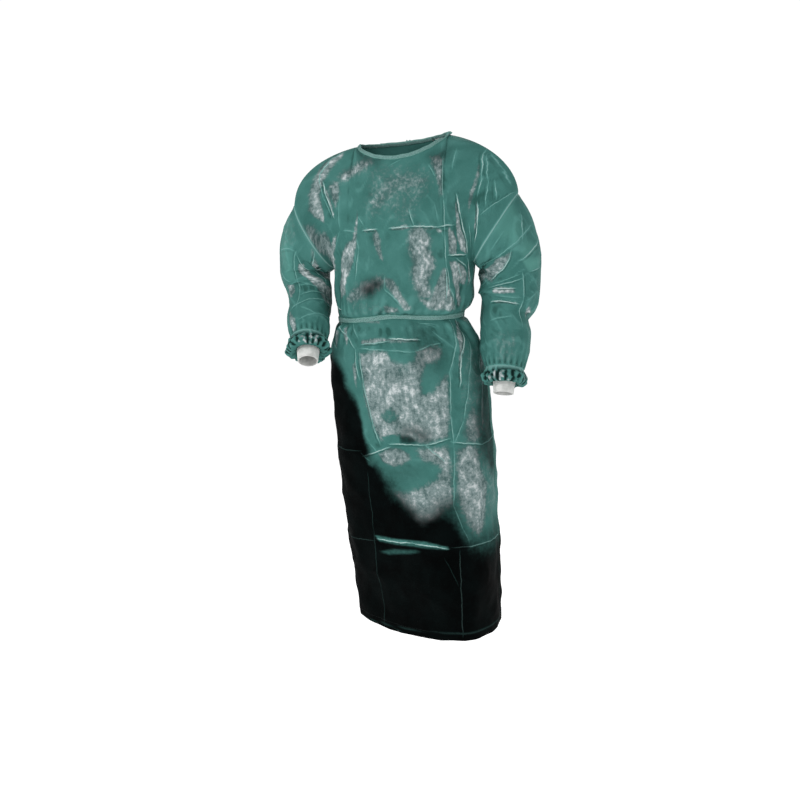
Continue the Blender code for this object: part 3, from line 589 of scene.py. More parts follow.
RIGHT_PALE = rows_of(
    Patch,
    (0.4, 6, (25, 171, 58, 66, 147, 58, 181, 141, 236, 237, 230, 537, 167, 472, 111, 277)),
)
ARM_BEHIND = rows_of(
    Copy,
    (0, 420, 20, 1.0, 0.85),
    (1, 330, 250, 1.0, 0.85),
)

# The grid that the cloth is worked out on, about 5 mm to a step
MIDDLE_STEPS = 32
SHOULDER_STEPS = 36
NECK_STEPS = 29
LAP_STEPS = 12
LAP_ACROSS = 0.056
YOKE_ROWS = 60
SLEEVE_ROWS = 76
RUFFLE_ROWS = 34
BODY_STEP = 0.0049
BELT_ROWS = 7
RING_POINTS = 721

# Crumpling: how wide, how high, and whether it has sharp ridges
Crumple = namedtuple("Crumple", "cell height sharp seed")
CRUMPLES = rows_of(
    Crumple,
    (0.110, 0.0044, False, 3),
    (0.050, 0.0025, False, 11),
    (0.085, 0.0026, True, 23),
    (0.036, 0.0007, True, 37),
)
ARM_CRUMPLES = rows_of(
    Crumple,
    (0.080, 0.0036, False, 5),
    (0.070, 0.0050, True, 17),
    (0.032, 0.0014, True, 29),
)

# A sharp crumple: how narrow and pointed its ridges are, the level of its flats, how much of each ridge is
# broken away, and how much wider those breaks are than its cells
RIDGE_NARROW = 3.2
RIDGE_POINTED = 1.5
RIDGE_LEVEL = 0.35
BREAK_SHARE = 0.55
BREAK_STRENGTH = 1.5
BREAK_WIDER = 1.3
SWELL_MOST = 0.5

# Gathers that the belt makes, above it and below it
GATHER_WAVE = 0.031
GATHER_HEIGHT = 0.0038
GATHER_REACH = 0.034
GATHER_CLEAR = 0.012
GATHER_LEAST = 0.45
GATHER_MORE = 0.75
GATHER_FRONT = 0.10

# What makes the gathers uneven: where they stand, how high they are and how far they reach
GATHER_SHIFT = Ripple(7, 0.09, 0.9)
GATHER_UNEVEN = Ripple(9, 0.06, 1.0)
GATHER_LONGER = Ripple(13, 0.05, 1.3)

# The pleats above a cuff and the ruffles past it, and what makes them uneven
CUFF_GATHERS = 20
CUFF_GATHER_HEIGHT = 0.0022
CUFF_GATHER_REACH = 0.022
CUFF_GATHER_CLEAR = 0.006
PLEAT_WANDER = Ripple(81, 0.11, 1.6)
PLEAT_UNEVEN = Ripple(85, 0.03, 0.5)
RUFFLE_WANDER = Ripple(51, 0.25, 2.2)
RUFFLE_FINE = Ripple(61, 0.035, 1.0)
RUFFLE_CRINKLED = Ripple(71, 0.040, 1.0)
RUFFLE_BROKEN = Ripple(91, 0.07, 2.6)
CRINKLE_STEP = 0.035

# The waves of a ruffle: how high, how many round the sleeve, and how far the wander bends them
RUFFLE_WAVES = ((0.70, 9, 1.6), (0.45, CUFF_GATHERS, 2.6))

# How deep a seam draws the cloth in, how far beside it that reaches, and where the hem is sewn
SEAM_REACH = 0.0035
SEAM_DEPTH = 0.0016
HEM_DROP = 0.020

# How folds and crumples die away: towards the belt, over a share of the yoke's rows below the top edge, and
# beside a side seam, where a share of them is left
BELT_TUCK = 0.003
BELT_FLAT = 0.022
TOP_FADE = 0.22
SIDE_FADE = 0.012
AT_SIDE = 0.25

# How high a crease of the tables stands: the least, what a lighter one adds, and how far it reaches
CREASE_LEAST = 0.0009
CREASE_MORE = 0.0020
CREASE_REACH = 0.0062
# The shares of its length over which a crease rises and runs out
CREASE_STARTS = 0.12
CREASE_ENDS = 0.25

# A patch: the softness above which its edge counts as soft, how much wider than traced a soft edge and a
# sharp one are drawn, its share at the very edge, and how far in it shows in full
SOFT_ABOVE = 5
EDGE_SOFTER = 2.1
EDGE_SHARPER = 1.2
PATCH_AT_EDGE = 0.78
PATCH_FULL = 0.014
PATCH_MOST = 1.2

# How the deep shade's edge wanders, as ripples of a seed, a width and a height, how wide it is, and where it
# starts
SHADE_WANDERS = rows_of(Ripple, (41, 0.070, 0.022), (43, 0.022, 0.007))
SHADE_WIDE = 2.6
SHADE_AHEAD = 0.25

# How many steps of the grid a crest is measured over, and the rise that shows in full
CREST_RISES = ((1, 0.0010), (3, 0.0036))

OBJECT_NAMES = {
    "front": "gown_front",
    "back_left": "gown_back_left",
    "back_right": "gown_back_right",
    "sleeve_left": "gown_sleeve_left",
    "sleeve_right": "gown_sleeve_right",
}


SIDES = {"sleeve_left": 1, "sleeve_right": -1}


def table(rows, name):
    return np.array([getattr(row, name) for row in rows], float)


def through(knots, values, at):
    """A smooth curve through the values of a table, read at the places asked for."""
    at = np.clip(np.asarray(at, float), knots[0], knots[-1])
    slopes = np.gradient(values, knots)
    start = np.clip(np.searchsorted(knots, at, side="right") - 1, 0, len(knots) - 2)
    span = knots[start + 1] - knots[start]
    t = (at - knots[start]) / span
    return (
        (2 * t**3 - 3 * t**2 + 1) * values[start]
        + (t**3 - 2 * t**2 + t) * span * slopes[start]
        + (3 * t**2 - 2 * t**3) * values[start + 1]
        + (t**3 - t**2) * span * slopes[start + 1]
    )


def ease(t):
    t = np.clip(t, 0.0, 1.0)
    return t * t * (3 - 2 * t)


def unit(vectors):
    return vectors / np.maximum(np.linalg.norm(vectors, axis=-1, keepdims=True), 1e-12)


def wrapped(across):
    """The same place on the round body, within half a round of the centre front."""
    return (across + HALF_ROUND) % (2 * HALF_ROUND) - HALF_ROUND


def nearest_turn(away, period):
    """The same distance round, taken the shorter way."""
    return (away + period / 2) % period - period / 2 if period else away


def body_ring(drop, across):
    """Points of the body's section at one drop, each placed by its share of the whole round."""
    knots = table(SECTIONS, "drop")
    centre_x, centre_y, half_width, front, back, power = (
        float(through(knots, table(SECTIONS, name), drop)) for name in Section._fields[1:]
    )
    turn = np.linspace(-math.pi, math.pi, RING_POINTS)
    side, ahead = np.sin(turn), np.cos(turn)
    x = half_width * np.sign(side) * np.abs(side) ** (2 / power)
    y = -np.where(ahead > 0, front, back) * np.sign(ahead) * np.abs(ahead) ** (2 / power)
    length = np.concatenate([[0], np.cumsum(np.hypot(np.diff(x), np.diff(y)))])
    share = length / length[-1] - 0.5
    wanted = across / (2 * HALF_ROUND)
    points_x = centre_x + np.interp(wanted, share, x)
    points_y = centre_y + np.interp(wanted, share, y)
    return np.stack([points_x, points_y, np.full_like(points_x, -drop)], axis=-1)


def shift_by_stance(ring, drop, across):
    """One ring of the body moved by the stance, with the belt's arch over the front."""
    for push in PUSHES:
        near = np.exp(-(((across - push.across) / push.across_reach) ** 2))
        near = near * math.exp(-(((drop - push.drop) / push.drop_reach) ** 2))
        ring += near[:, None] * np.array([push.x, push.y, push.rise])
    near = np.exp(-((across / BELT_ARCH_ACROSS) ** 2))
    ring[:, 2] += BELT_ARCH * near * math.exp(-(((drop - BELT_DROP) / BELT_ARCH_DROP) ** 2))
    return ring


def top_edge(across, behind):
    """The shoulder seams and the neckline, where the front and the backs begin."""
    size, side = np.abs(across), np.sign(across)
    if behind:
        neck_start, depth, low = NECK_ACROSS_BACK, NECK_BACK, NECK_BACK_DROP
        turn = (HALF_ROUND - size) / (HALF_ROUND - NECK_ACROSS_BACK) * math.pi / 2
        on_neck = size > NECK_ACROSS_BACK
    else:
        neck_start, depth, low = NECK_ACROSS, -NECK_FRONT, NECK_FRONT_DROP
        turn = size / NECK_ACROSS * math.pi / 2
        on_neck = size < NECK_ACROSS
    inward = np.clip(np.abs(size - SIDE_SEAM) / abs(neck_start - SIDE_SEAM), 0, 1)
    out = (1 - inward) * math.pi / 2
    fall = SHOULDER_STRAIGHT * (1 - inward) + (1 - SHOULDER_STRAIGHT) * (1 - np.cos(out))
    x = NECK_HALF_WIDTH + (SHOULDER_TIP_X - NECK_HALF_WIDTH) * np.sin(out)
    x = np.where(on_neck, NECK_HALF_WIDTH * np.sin(turn), x)
    y = np.where(on_neck, NECK_Y + depth * np.cos(turn), NECK_Y * inward)
    drop = np.where(on_neck, low * np.abs(np.cos(turn)) ** NECK_CURVE, SHOULDER_TIP_DROP * fall)
    return np.stack([side * x, y, NECK_TILT * side * x * inward**2 - drop], axis=-1)


def yoke(across, behind):
    """The rows of cloth from the top edge to the armpit's level."""
    top, low = top_edge(across, behind), body_ring(ARMPIT_DROP, across)
    size = np.abs(across)
    width = (HALF_ROUND - size if behind else size) / SIDE_SEAM
    rounding = ROUNDED_LEAST + (1 - ROUNDED_LEAST) * ease(width / ROUNDED_WIDTH)
    at_armhole = np.clip(width, 0, 1) ** ARMHOLE_POWER
    bulge = (ARMHOLE_BACK if behind else -ARMHOLE_FRONT) * at_armhole
    rows = []
    for share in np.linspace(0, 1, YOKE_ROWS + 1):
        quarter, half = share * math.pi / 2, share * math.pi
        out = rounding * math.sin(quarter) + (1 - rounding) * share
        down = rounding * (1 - math.cos(quarter)) + (1 - rounding) * share
        loop = (1 - math.cos(half)) / 2
        out = out + (loop - out) * at_armhole
        down = down + (loop - down) * at_armhole
        points = top + (low - top) * np.stack([out, out, down], axis=-1)
        points[:, 1] += bulge * math.sin(half)
        rows.append(points)
    return np.array(rows)


def quads(rows, columns, closed):
    """The four-sided faces of a grid of points."""
    index = np.arange(rows * columns).reshape(rows, columns)
    if closed:
        index = np.concatenate([index, index[:, :1]], axis=1)
    corners = index[:-1, :-1], index[1:, :-1], index[1:, 1:], index[:-1, 1:]
    return np.stack([part.ravel() for part in corners], 1)


def grid_triangles(rows, columns, closed):
    """The triangles of a grid of points, every cell cut from its first corner to its third."""
    cells = quads(rows, columns, closed)
    return np.concatenate([cells[:, :3], cells[:, [0, 2, 3]]])


def shared_normals(grids, closed_names):
    """Outward normals for the points of several grids, made one where the grids meet."""
    flat = np.concatenate([points.reshape(-1, 3) for points in grids.values()])
    _, index = np.unique(np.round(flat, 6), axis=0, return_inverse=True)
    index = index.reshape(-1)
    total = np.zeros((index.max() + 1, 3))
    start = 0
    for name, points in grids.items():
        triangles = grid_triangles(*points.shape[:2], name in closed_names) + start
        corners = flat[triangles]
        faces = unit(np.cross(corners[:, 1] - corners[:, 0], corners[:, 2] - corners[:, 0]))
        for corner in range(3):
            np.add.at(total, index[triangles[:, corner]], faces)
        start += points.shape[0] * points.shape[1]
    normals = unit(total)[index]
    found, start = {}, 0
    for name, points in grids.items():
        size = points.shape[0] * points.shape[1]
        found[name] = normals[start : start + size].reshape(points.shape)
        start += size
    return found


def fold_height(folds, u, v, period=None):
    """How far the folds of a table lift the cloth at places u along its round and v down it."""
    height = np.zeros(np.broadcast(u, v).shape)
    for u0, v0, u1, v1, width, depth in folds:
        off_u, off_v = nearest_turn(u - u0, period), v - v0
        run = math.hypot(u1 - u0, v1 - v0)
        du, dv = (u1 - u0) / run, (v1 - v0) / run
        share = (off_u * du + off_v * dv) / run
        aside = (off_v * du - off_u * dv) / width
        strength = np.clip(np.where(share < 0, 1 + FOLD_START * share, 1 - share), 0, 1)
        height += depth * strength * np.exp(-(aside**2))
    return height


def arm_round(side, count):
    """Where each point of a sleeve's ring stands, as a share of the way round by the front."""
    share = np.arange(count) / count
    return share if side < 0 else (1 - share) % 1.0


def arm_path(rings, side, along):
    """Centres, directions and half sizes of a sleeve at places along it."""
    knots = table(rings, "along")
    signs = {"x": side, "y": 1, "drop": -1}

    def centre_at(at):
        return np.stack([sign * through(knots, table(rings, name), at) for name, sign in signs.items()], -1)

    ahead = unit(centre_at(along + ARM_STEP) - centre_at(along - ARM_STEP))
    outward = unit(np.array([side, 0.0, 0.0]) - ahead * ahead[:, :1] * side)
    forward = np.cross(ahead, outward) * side
    wide = through(knots, table(rings, "wide"), along)
    deep = through(knots, table(rings, "deep"), along)
    return centre_at(along), ahead, outward, forward, wide, deep


def ring_of(centre, outward, forward, wide, deep, turn):
    """One ring of points round a centre."""
    return centre + outward * (wide * np.cos(turn))[:, None] + forward * (deep * np.sin(turn))[:, None]


def front_columns():
    """The across of each column of the front, from side seam to side seam."""
    middle = np.linspace(0, NECK_ACROSS, MIDDLE_STEPS + 1)
    shoulder = np.linspace(NECK_ACROSS, SIDE_SEAM, SHOULDER_STEPS + 1)[1:]
    half = np.concatenate([middle, shoulder])
    return np.concatenate([-half[:0:-1], half])


def back_columns():
    """The across of each column of the left back, from its side seam to its lapped edge."""
    shoulder = np.linspace(SIDE_SEAM, NECK_ACROSS_BACK, SHOULDER_STEPS + 1)
    neck = np.linspace(NECK_ACROSS_BACK, HALF_ROUND, NECK_STEPS + 1)[1:]
    lap = np.linspace(HALF_ROUND, HALF_ROUND + LAP_ACROSS, LAP_STEPS + 1)[1:]
    return np.concatenate([shoulder, neck, lap])


def belt_drops():
    return np.linspace(BELT_DROP - BELT_HALF_HEIGHT, BELT_DROP + BELT_HALF_HEIGHT, BELT_ROWS)


def lower_drops():
    """The drop of each row below the armpit's, with rows of its own for the belt."""
    belt = belt_drops()
    above = np.arange(ARMPIT_DROP + BODY_STEP, belt[0] - BODY_STEP / 3, BODY_STEP)
    below = np.linspace(belt[-1], LENGTH, round((LENGTH - belt[-1]) / BODY_STEP) + 1)[1:]
    return np.concatenate([above, belt, below])


def body_grid(across, behind):
    """The plain surface of one panel as a grid of points."""
    place = wrapped(across) if behind else across
    rows = list(yoke(place, behind))
    for drop in lower_drops():
        rows.append(shift_by_stance(body_ring(drop, place), drop, place))
    return np.array(rows)


def run_of(points):
    """The distance down each column over the cloth, set level with the drop at the armpit's row."""
    steps = np.linalg.norm(np.diff(points, axis=0), axis=2)
    run = np.concatenate([np.zeros((1, points.shape[1])), np.cumsum(steps, axis=0)])
    return run - run[YOKE_ROWS] + ARMPIT_DROP


def ripple(seed, cell, period, u, v):
    """Smooth noise of about -0.7 to 0.7 that closes on itself each period of u."""
    around = max(2, round(period / cell))
    lean = np.random.default_rng(seed).uniform(0, 2 * math.pi, (around, 256))
    x, y = (u / period) % 1.0 * around, v / cell + 64
    i, j = np.floor(x).astype(int), np.floor(y).astype(int)
    fx, fy = x - i, y - j

    def corner(di, dj):
        angle = lean[(i + di) % around, (j + dj) % 256]
        return np.cos(angle) * (fx - di) + np.sin(angle) * (fy - dj)

    sx, sy = (t * t * t * (t * (6 * t - 15) + 10) for t in (fx, fy))
    top = corner(0, 0) * (1 - sx) + corner(1, 0) * sx
    low = corner(0, 1) * (1 - sx) + corner(1, 1) * sx
    return top * (1 - sy) + low * sy


def rippled(kind, period, u, v, more=0):
    """One ripple of a table, or one like it from a seed some way past its own."""
    return kind.height * ripple(kind.seed + more, kind.cell, period, u, v)


def crumpled(kinds, period, u, v):
    """How far crumpling lifts the cloth: soft swells, and flat facets between sharp ridges."""
    height = np.zeros(np.broadcast(u, v).shape)
    for kind in kinds:
        value = ripple(kind.seed, kind.cell, period, u, v)
        if kind.sharp:
            breaks = ripple(kind.seed + 1, BREAK_WIDER * kind.cell, period, u, v)
            broken = ease(BREAK_SHARE + BREAK_STRENGTH * breaks)
            ridge = (1 - np.minimum(1.0, np.abs(value) * RIDGE_NARROW)) ** RIDGE_POINTED
            height += kind.height * broken * (ridge - RIDGE_LEVEL)
        else:
            height += kind.height * value / SWELL_MOST
    return height


def nearness(row, u, v, period=None):
    """How far places lie from a row's line, and where along it, from 0 to 1."""
    u0, v0, u1, v1 = row[:4]
    off_u, off_v = nearest_turn(u - u0, period), v - v0
    run_u, run_v = u1 - u0, v1 - v0
    length = max(run_u**2 + run_v**2, 1e-9)
    share = np.clip((off_u * run_u + off_v * run_v) / length, 0, 1)
    return np.hypot(off_u - share * run_u, off_v - share * run_v), share


def crease_height(creases, u, v, period=None):
    """Sharp-backed ridges along the lines of a table, run out at both ends."""
    height = np.zeros(np.broadcast(u, v).shape)
    for row in creases:
        away, share = nearness(row, u, v, period)
        ends = ease(share / CREASE_STARTS + 0.35) * ease((1 - share) / CREASE_ENDS + 0.25)
        height += (CREASE_LEAST + CREASE_MORE * row.light) * ends * np.exp(-away / CREASE_REACH)
    return height


def inside_by(outline, u, v):
    """How far places lie inside a closed outline, below zero outside it."""
    away, crossings = np.full(u.shape, 1.0), np.zeros(u.shape, int)
    for (u0, v0), (u1, v1) in zip(outline, np.roll(outline, -1, axis=0)):
        du, dv = u1 - u0, v1 - v0
        share = np.clip(((u - u0) * du + (v - v0) * dv) / max(du * du + dv * dv, 1e-9), 0, 1)
        away = np.minimum(away, np.hypot(u - u0 - share * du, v - v0 - share * dv))
        spans = (v0 > v) != (v1 > v)
        crossings += spans & (u < u0 + (v - v0) * du / (dv or 1e-9))
    return np.where(crossings % 2 == 1, away, -away)


def patched(patches, u, v):
    """A field that a table of outlines adds to and takes from."""
    field = np.zeros(u.shape)
    for amount, soft, outline in patches:
        (left, top), (right, low) = outline.min(axis=0) - 2 * soft, outline.max(axis=0) + 2 * soft
        near = (u > left) & (u < right) & (v > top) & (v < low)
        depth = inside_by(outline, u[near], v[near])
        full = PATCH_AT_EDGE + (1 - PATCH_AT_EDGE) * ease(depth / PATCH_FULL)
        spot = amount * ease(0.5 + depth / (2 * soft)) * full
        field[near] = np.maximum(field[near], spot) if amount > 0 else field[near] + spot
    return np.clip(field, 0, PATCH_MOST)


def copied(copies, patches):
    """Outlines of a table moved, scaled and turned over about their own middles."""
    made = []
    for row in copies:
        soft, outline = patches[row.number][1:]
        outline = np.reshape(outline, (-1, 2))
        middle = outline.mean(axis=0)
        outline = (outline - middle) * [row.scale, abs(row.scale)] + middle + [row.across, row.drop]
        made.append(Patch(row.amount, soft, outline))
    return made


def laid_out(patches, across=1.0, drop=1.0, turns=(0,)):
    """Outlines of a table in metres over the cloth, softer at the edge than traced, at each of some turns."""
    made = []
    for amount, soft, outline in patches:
        outline = np.reshape(outline, (-1, 2)) * [across / 1000, drop / 1000]
        soft = soft * (EDGE_SOFTER if soft > SOFT_ABOVE else EDGE_SHARPER) / 1000
        made += [Patch(amount, soft, outline + [turn * across, 0]) for turn in turns]
    return made


def shade_field(u, v):
    """How deep the shade lies at each place of the body, from 0 to 1."""
    knots = table(SHADE, "across")
    start, soft = (through(knots / 1000, table(SHADE, name) / 1000, u) for name in ("drop", "soft"))
    for kind in SHADE_WANDERS:
        start = start + rippled(kind, 2 * HALF_ROUND, u, v)
    return ease((v - start) / (SHADE_WIDE * soft) + SHADE_AHEAD)


def gathers(u, v):
    """Small uprights that the belt draws into the cloth, uneven in width and length."""
    phase = u / GATHER_WAVE + rippled(GATHER_SHIFT, 2 * HALF_ROUND, u, v * 0.3)
    wave = np.cos(2 * math.pi * phase)
    strength = GATHER_LEAST + GATHER_MORE * ease((np.abs(u) - GATHER_FRONT) / GATHER_FRONT)
    strength = strength * (0.8 + rippled(GATHER_UNEVEN, 2 * HALF_ROUND, u, v * 0))
    reach = GATHER_REACH * (1 + rippled(GATHER_LONGER, 2 * HALF_ROUND, u, v * 0))
    away = np.maximum(np.abs(v - BELT_DROP) - BELT_HALF_HEIGHT, 0)
    return GATHER_HEIGHT * wave * strength * np.exp(-away / reach) * ease(away / GATHER_CLEAR)


def body_height(points, across, run):
    """The folds, creases and crumples of a panel above its plain surface."""
    u, v = wrapped(across)[None] + 0 * run, -points[..., 2]
    height = fold_height(BODY_FOLDS, u, v)
    for turned in (u - 2 * HALF_ROUND, u, u + 2 * HALF_ROUND):
        height = height + crease_height(creases_of(BODY_LINES), turned, v)
    height += crumpled(CRUMPLES, 2 * HALF_ROUND, u, run) + gathers(u, v)
    away = np.abs(v - BELT_DROP)
    height *= ease((away - BELT_HALF_HEIGHT + BELT_TUCK) / BELT_FLAT)
    rows = np.arange(len(points))[:, None]
    from_side = np.abs(np.abs(across) - SIDE_SEAM)[None]
    below = ease(rows / (YOKE_ROWS * TOP_FADE))
    beside = np.where(rows < YOKE_ROWS, ease(from_side / ARMHOLE_FADE), ease(from_side / SIDE_FADE))
    seam = np.exp(-((from_side / SEAM_REACH) ** 2))
    return height * below * (AT_SIDE + (1 - AT_SIDE) * beside) - SEAM_DEPTH * seam


def plain_sleeve(rings, side, armhole):
    """The plain surface of a sleeve, which leaves the armhole's own points and rounds off below it."""
    turn = 2 * math.pi * arm_round(side, len(armhole))
    along = np.linspace(0, 1, SLEEVE_ROWS + 1)
    path = arm_path(rings, side, along)
    rings_made = [ring_of(*parts, turn) for parts in zip(path[0], *path[2:])]
    grid = np.array(rings_made)
    grid += (armhole - grid[0])[None] * (1 - ease(along / ARM_BLEND))[:, None, None]
    return grid, path


def creases_of(lines, across=1.0, drop=1.0):
    """The straight pieces of the lines of a table, in metres over the cloth."""
    made = []
    for light, places in lines:
        places = np.reshape(places, (-1, 2)) * [across / 1000, drop / 1000]
        made += [Crease(*start, *end, light) for start, end in zip(places[:-1], places[1:])]
    return made


def arm_creases(side):
    return creases_of(LEFT_LINES if side > 0 else RIGHT_LINES, ARM_ROUND, ARM_LENGTH)


def sleeve_places(side, rows, count):
    """How far round and how far along a plain sleeve each of its points lies."""
    around = ARM_ROUND * arm_round(side, count)[None]
    along = ARM_LENGTH * np.linspace(0, 1, rows)[:, None]
    return around + 0 * along, along + 0 * around


def sleeve_height(side, rows, count):
    """The folds, creases and crumples of a sleeve above its plain surface."""
    u, v = sleeve_places(side, rows, count)
    sizes = [ARM_ROUND, ARM_LENGTH] * 2
    folds = [(*(np.array(row[:4]) * sizes), *row[4:]) for row in ARM_FOLDS]
    height = fold_height(folds, u, v, ARM_ROUND)
    height += crease_height(arm_creases(side), u, v, ARM_ROUND)
    height += crumpled(ARM_CRUMPLES, ARM_ROUND, u + (0.1 if side > 0 else 0), v)
    share = v / ARM_LENGTH
    seam = np.exp(-((v / SEAM_REACH) ** 2))
    height = height * ease(share / ARM_FADE_START) * ease((1 - share) / ARM_FADE_END) - SEAM_DEPTH * seam
    wander = rippled(PLEAT_WANDER, ARM_ROUND, u, v * 0.4, side)
    pleats = np.cos(2 * math.pi * CUFF_GATHERS * u / ARM_ROUND + wander)
    pleats = pleats + rippled(PLEAT_UNEVEN, ARM_ROUND, u, v * 0.3)
    left = ARM_LENGTH - v
    near = np.exp(-left / CUFF_GATHER_REACH) * ease(left / CUFF_GATHER_CLEAR)
    return height + CUFF_GATHER_HEIGHT * pleats * near


def ruffle_rows(path, side, count):
    """The rows of cloth past the gather line, waving and turned in to the cuff."""
    centre, ahead, outward, forward = (part[-1] for part in path[:4])
    share = arm_round(side, count)
    turn = 2 * math.pi * share
    knots = np.arange(len(RUFFLE))
    places = np.linspace(0, len(RUFFLE) - 1, RUFFLE_ROWS)
    wander = rippled(RUFFLE_WANDER, 1.0, share, 0 * share, side)
    coarse = sum(high * np.cos(waves * turn + bend * wander) for high, waves, bend in RUFFLE_WAVES)
    fine = rippled(RUFFLE_FINE, 1.0, share, 0 * share, side)
    rows = []
    for place in places:
        past, radius, waves = (through(knots, table(RUFFLE, name), place) for name in Ruffle._fields)
        crinkle = rippled(RUFFLE_CRINKLED, 1.0, share, np.full(count, place * CRINKLE_STEP), side)
        ring_radius = radius + waves * (RUFFLE_WAVE * coarse + RUFFLE_CRINKLE * fine + RUFFLE_CRINKLE * crinkle)
        dip = waves * (RUFFLE_DIP * np.cos(RUFFLE_DIPS * turn) + RUFFLE_RAGGED * fine)
        ring = ring_of(centre, outward, forward, ring_radius, ring_radius, turn)
        rows.append(ring + ahead * (past + dip)[:, None])
    return np.array(rows)


def armhole_loop(panels, side):
    """The points round an armhole: from the shoulder's tip down one panel's edge and up the other's."""
    if side < 0:
        down, up = panels["front"][:, 0], panels["back_right"][:, -1]
    else:
        down, up = panels["back_left"][:, 0], panels["front"][:, -1]
    return np.concatenate([down[: YOKE_ROWS + 1], up[YOKE_ROWS - 1 : 0 : -1]])


def drape():
    """The draped surface of every panel, its normals, and where each point lies on the flat cloth."""
    across = {"front": front_columns(), "back_left": back_columns()}
    across["back_right"] = -across["back_left"][::-1]
    grids = {name: body_grid(columns, name != "front") for name, columns in across.items()}
    paths = {}
    for name, side in SIDES.items():
        rings = LEFT_ARM if side > 0 else RIGHT_ARM
        grids[name], paths[name] = plain_sleeve(rings, side, armhole_loop(grids, side))
    normals = shared_normals(grids, SIDES)
    runs = {name: run_of(grids[name]) for name in across}
    places = {}
    for name, columns in across.items():
        places[name] = wrapped(columns)[None] + 0 * runs[name], -grids[name][..., 2], runs[name]
        height = body_height(grids[name], columns, runs[name])
        grids[name] = grids[name] + normals[name] * height[..., None]
    loops = {side: armhole_loop(grids, side) for side in (1, -1)}
    for name, side in SIDES.items():
        rows, count = grids[name].shape[:2]
        folded = grids[name] + normals[name] * sleeve_height(side, rows, count)[..., None]
        folded[0] = loops[side]
        grids[name] = np.concatenate([folded, ruffle_rows(paths[name], side, count)])
        around, along = sleeve_places(side, rows, count)
        past = ARM_LENGTH + np.linspace(0, RUFFLE_RUN, RUFFLE_ROWS + 1)[1:, None] + 0 * around[:1]
        along = np.concatenate([along, past])
        places[name] = around[:1] + 0 * along, along, along
    normals = shared_normals(grids, SIDES)
    for name, way in (("back_left", 1), ("back_right", -1)):
        lap = ease((np.abs(across[name]) - LAP_START) / (LAP_FULL - LAP_START))
        grids[name] = grids[name] + normals[name] * (way * LAP_RISE * lap)[None, :, None]
    return {"grids": grids, "normals": normals, "paths": paths, "across": across, "places": places}


SURFACE = {}


def surface():
    """The draped cloth, worked out once."""
    if not SURFACE:
        SURFACE.update(drape())
    return SURFACE


def moved_rows(points, step, closed):
    """The points moved a step along their columns and along their rows, each way, held at open edges."""
    rows, columns = np.arange(points.shape[0]), np.arange(points.shape[1])
    for way in (-step, step):
        yield points[np.clip(rows + way, 0, len(rows) - 1)]
        beside = (columns + way) % len(columns) if closed else np.clip(columns + way, 0, len(columns) - 1)
        yield points[:, beside]


def crest_of(points, normals, closed):
    """How far each point stands above the cloth round it, from -1 in a valley to 1 on a ridge."""
    crest = 0
    for step, rise in CREST_RISES:
        around = sum(moved_rows(points, step, closed)) / 4
        crest = crest + np.sum((points - around) * normals, axis=-1) / rise
    return np.clip(crest, -1, 1)


def drawn_in(points, normals, closed):
    """The grid with its outline drawn in by half the gap between panels, along the surface."""
    moved = points.copy()
    edges = [((0, slice(None)), (1, slice(None))), ((-1, slice(None)), (-2, slice(None)))]
    if not closed:
        edges += [((slice(None), 0), (slice(None), 1)), ((slice(None), -1), (slice(None), -2))]
    for edge, beside in edges:
        inward = points[beside] - points[edge]
        inward = inward - np.sum(inward * normals[edge], axis=1, keepdims=True) * normals[edge]
        moved[edge] += unit(inward) * EDGE_GAP / 2
    return moved


# How far aside of a crease and past its end its field reaches, and the most layers of creases
LINE_REACH = 0.009
LINE_END = 0.008
LINE_SETS = 3
LINE_FAR = 0.05
LINE_FULL = 0.02
LINE_AT_END = 0.55
LINE_SOFT = 0.35

# How wide a painted crease highlight is, how much wider a strong one, and how far its path wanders
LINE_WIDTH = 0.0013
LINE_WIDER = 0.0022
LINE_WANDER = 0.0075

# Two creases share a field if they keep this many reaches apart, or if one goes on from the other
LINES_APART = 2.0
LINES_MEET = 0.006
LINES_AHEAD = 0.85

# Half the width of the line painted at a seam, at a sleeve's end and at the hem
SEAM_LINE = 0.0022
ARM_END_LINE = 0.003
HEM_LINE = 0.002

# The corner in degrees from which a piece shows an edge
SHARP_DEGREES = 60

# The shade beside a crease: how far from its line, and how fast it fades there
LEE_AWAY = 0.0042
LEE_FADE = 260.0


def mesh_from(name, points, faces):
    mesh = bpy.data.meshes.new(name)
    mesh.from_pydata(np.asarray(points).reshape(-1, 3).tolist(), [], np.asarray(faces).tolist())
    return mesh


def wall_mesh(name, outer, inner, closed):
    """A closed wall of quads between an outer grid of points and an inner one."""
    rows, columns = outer.shape[:2]
    size = rows * columns
    index = np.arange(size).reshape(rows, columns)
    skin = quads(rows, columns, closed)
    faces = [skin, skin[:, ::-1] + size]
    ring = np.concatenate([index, index[:, :1]], axis=1) if closed else index
    rims = [(ring[0, 1:], ring[0, :-1]), (ring[-1, :-1], ring[-1, 1:])]
    if not closed:
        rims += [(index[:-1, 0], index[1:, 0]), (index[1:, -1], index[:-1, -1])]
    for first, second in rims:
        faces.append(np.stack([second, first, first + size, second + size], 1))
    points = np.concatenate([outer.reshape(-1, 3), inner.reshape(-1, 3)])
    return mesh_from(name, points, np.concatenate(faces))


def faces_outward(mesh):
    shape = bmesh.new()
    shape.from_mesh(mesh)
    bmesh.ops.recalc_face_normals(shape, faces=shape.faces)
    shape.to_mesh(mesh)
    shape.free()


def set_field(mesh, name, values):
    """A number, or three at once, kept with every point of a mesh."""
    three = np.ndim(values) == 2
    layer = mesh.attributes.new(name, "FLOAT_VECTOR" if three else "FLOAT", "POINT")
    layer.data.foreach_set("vector" if three else "value", np.ascontiguousarray(values, np.float32).ravel())


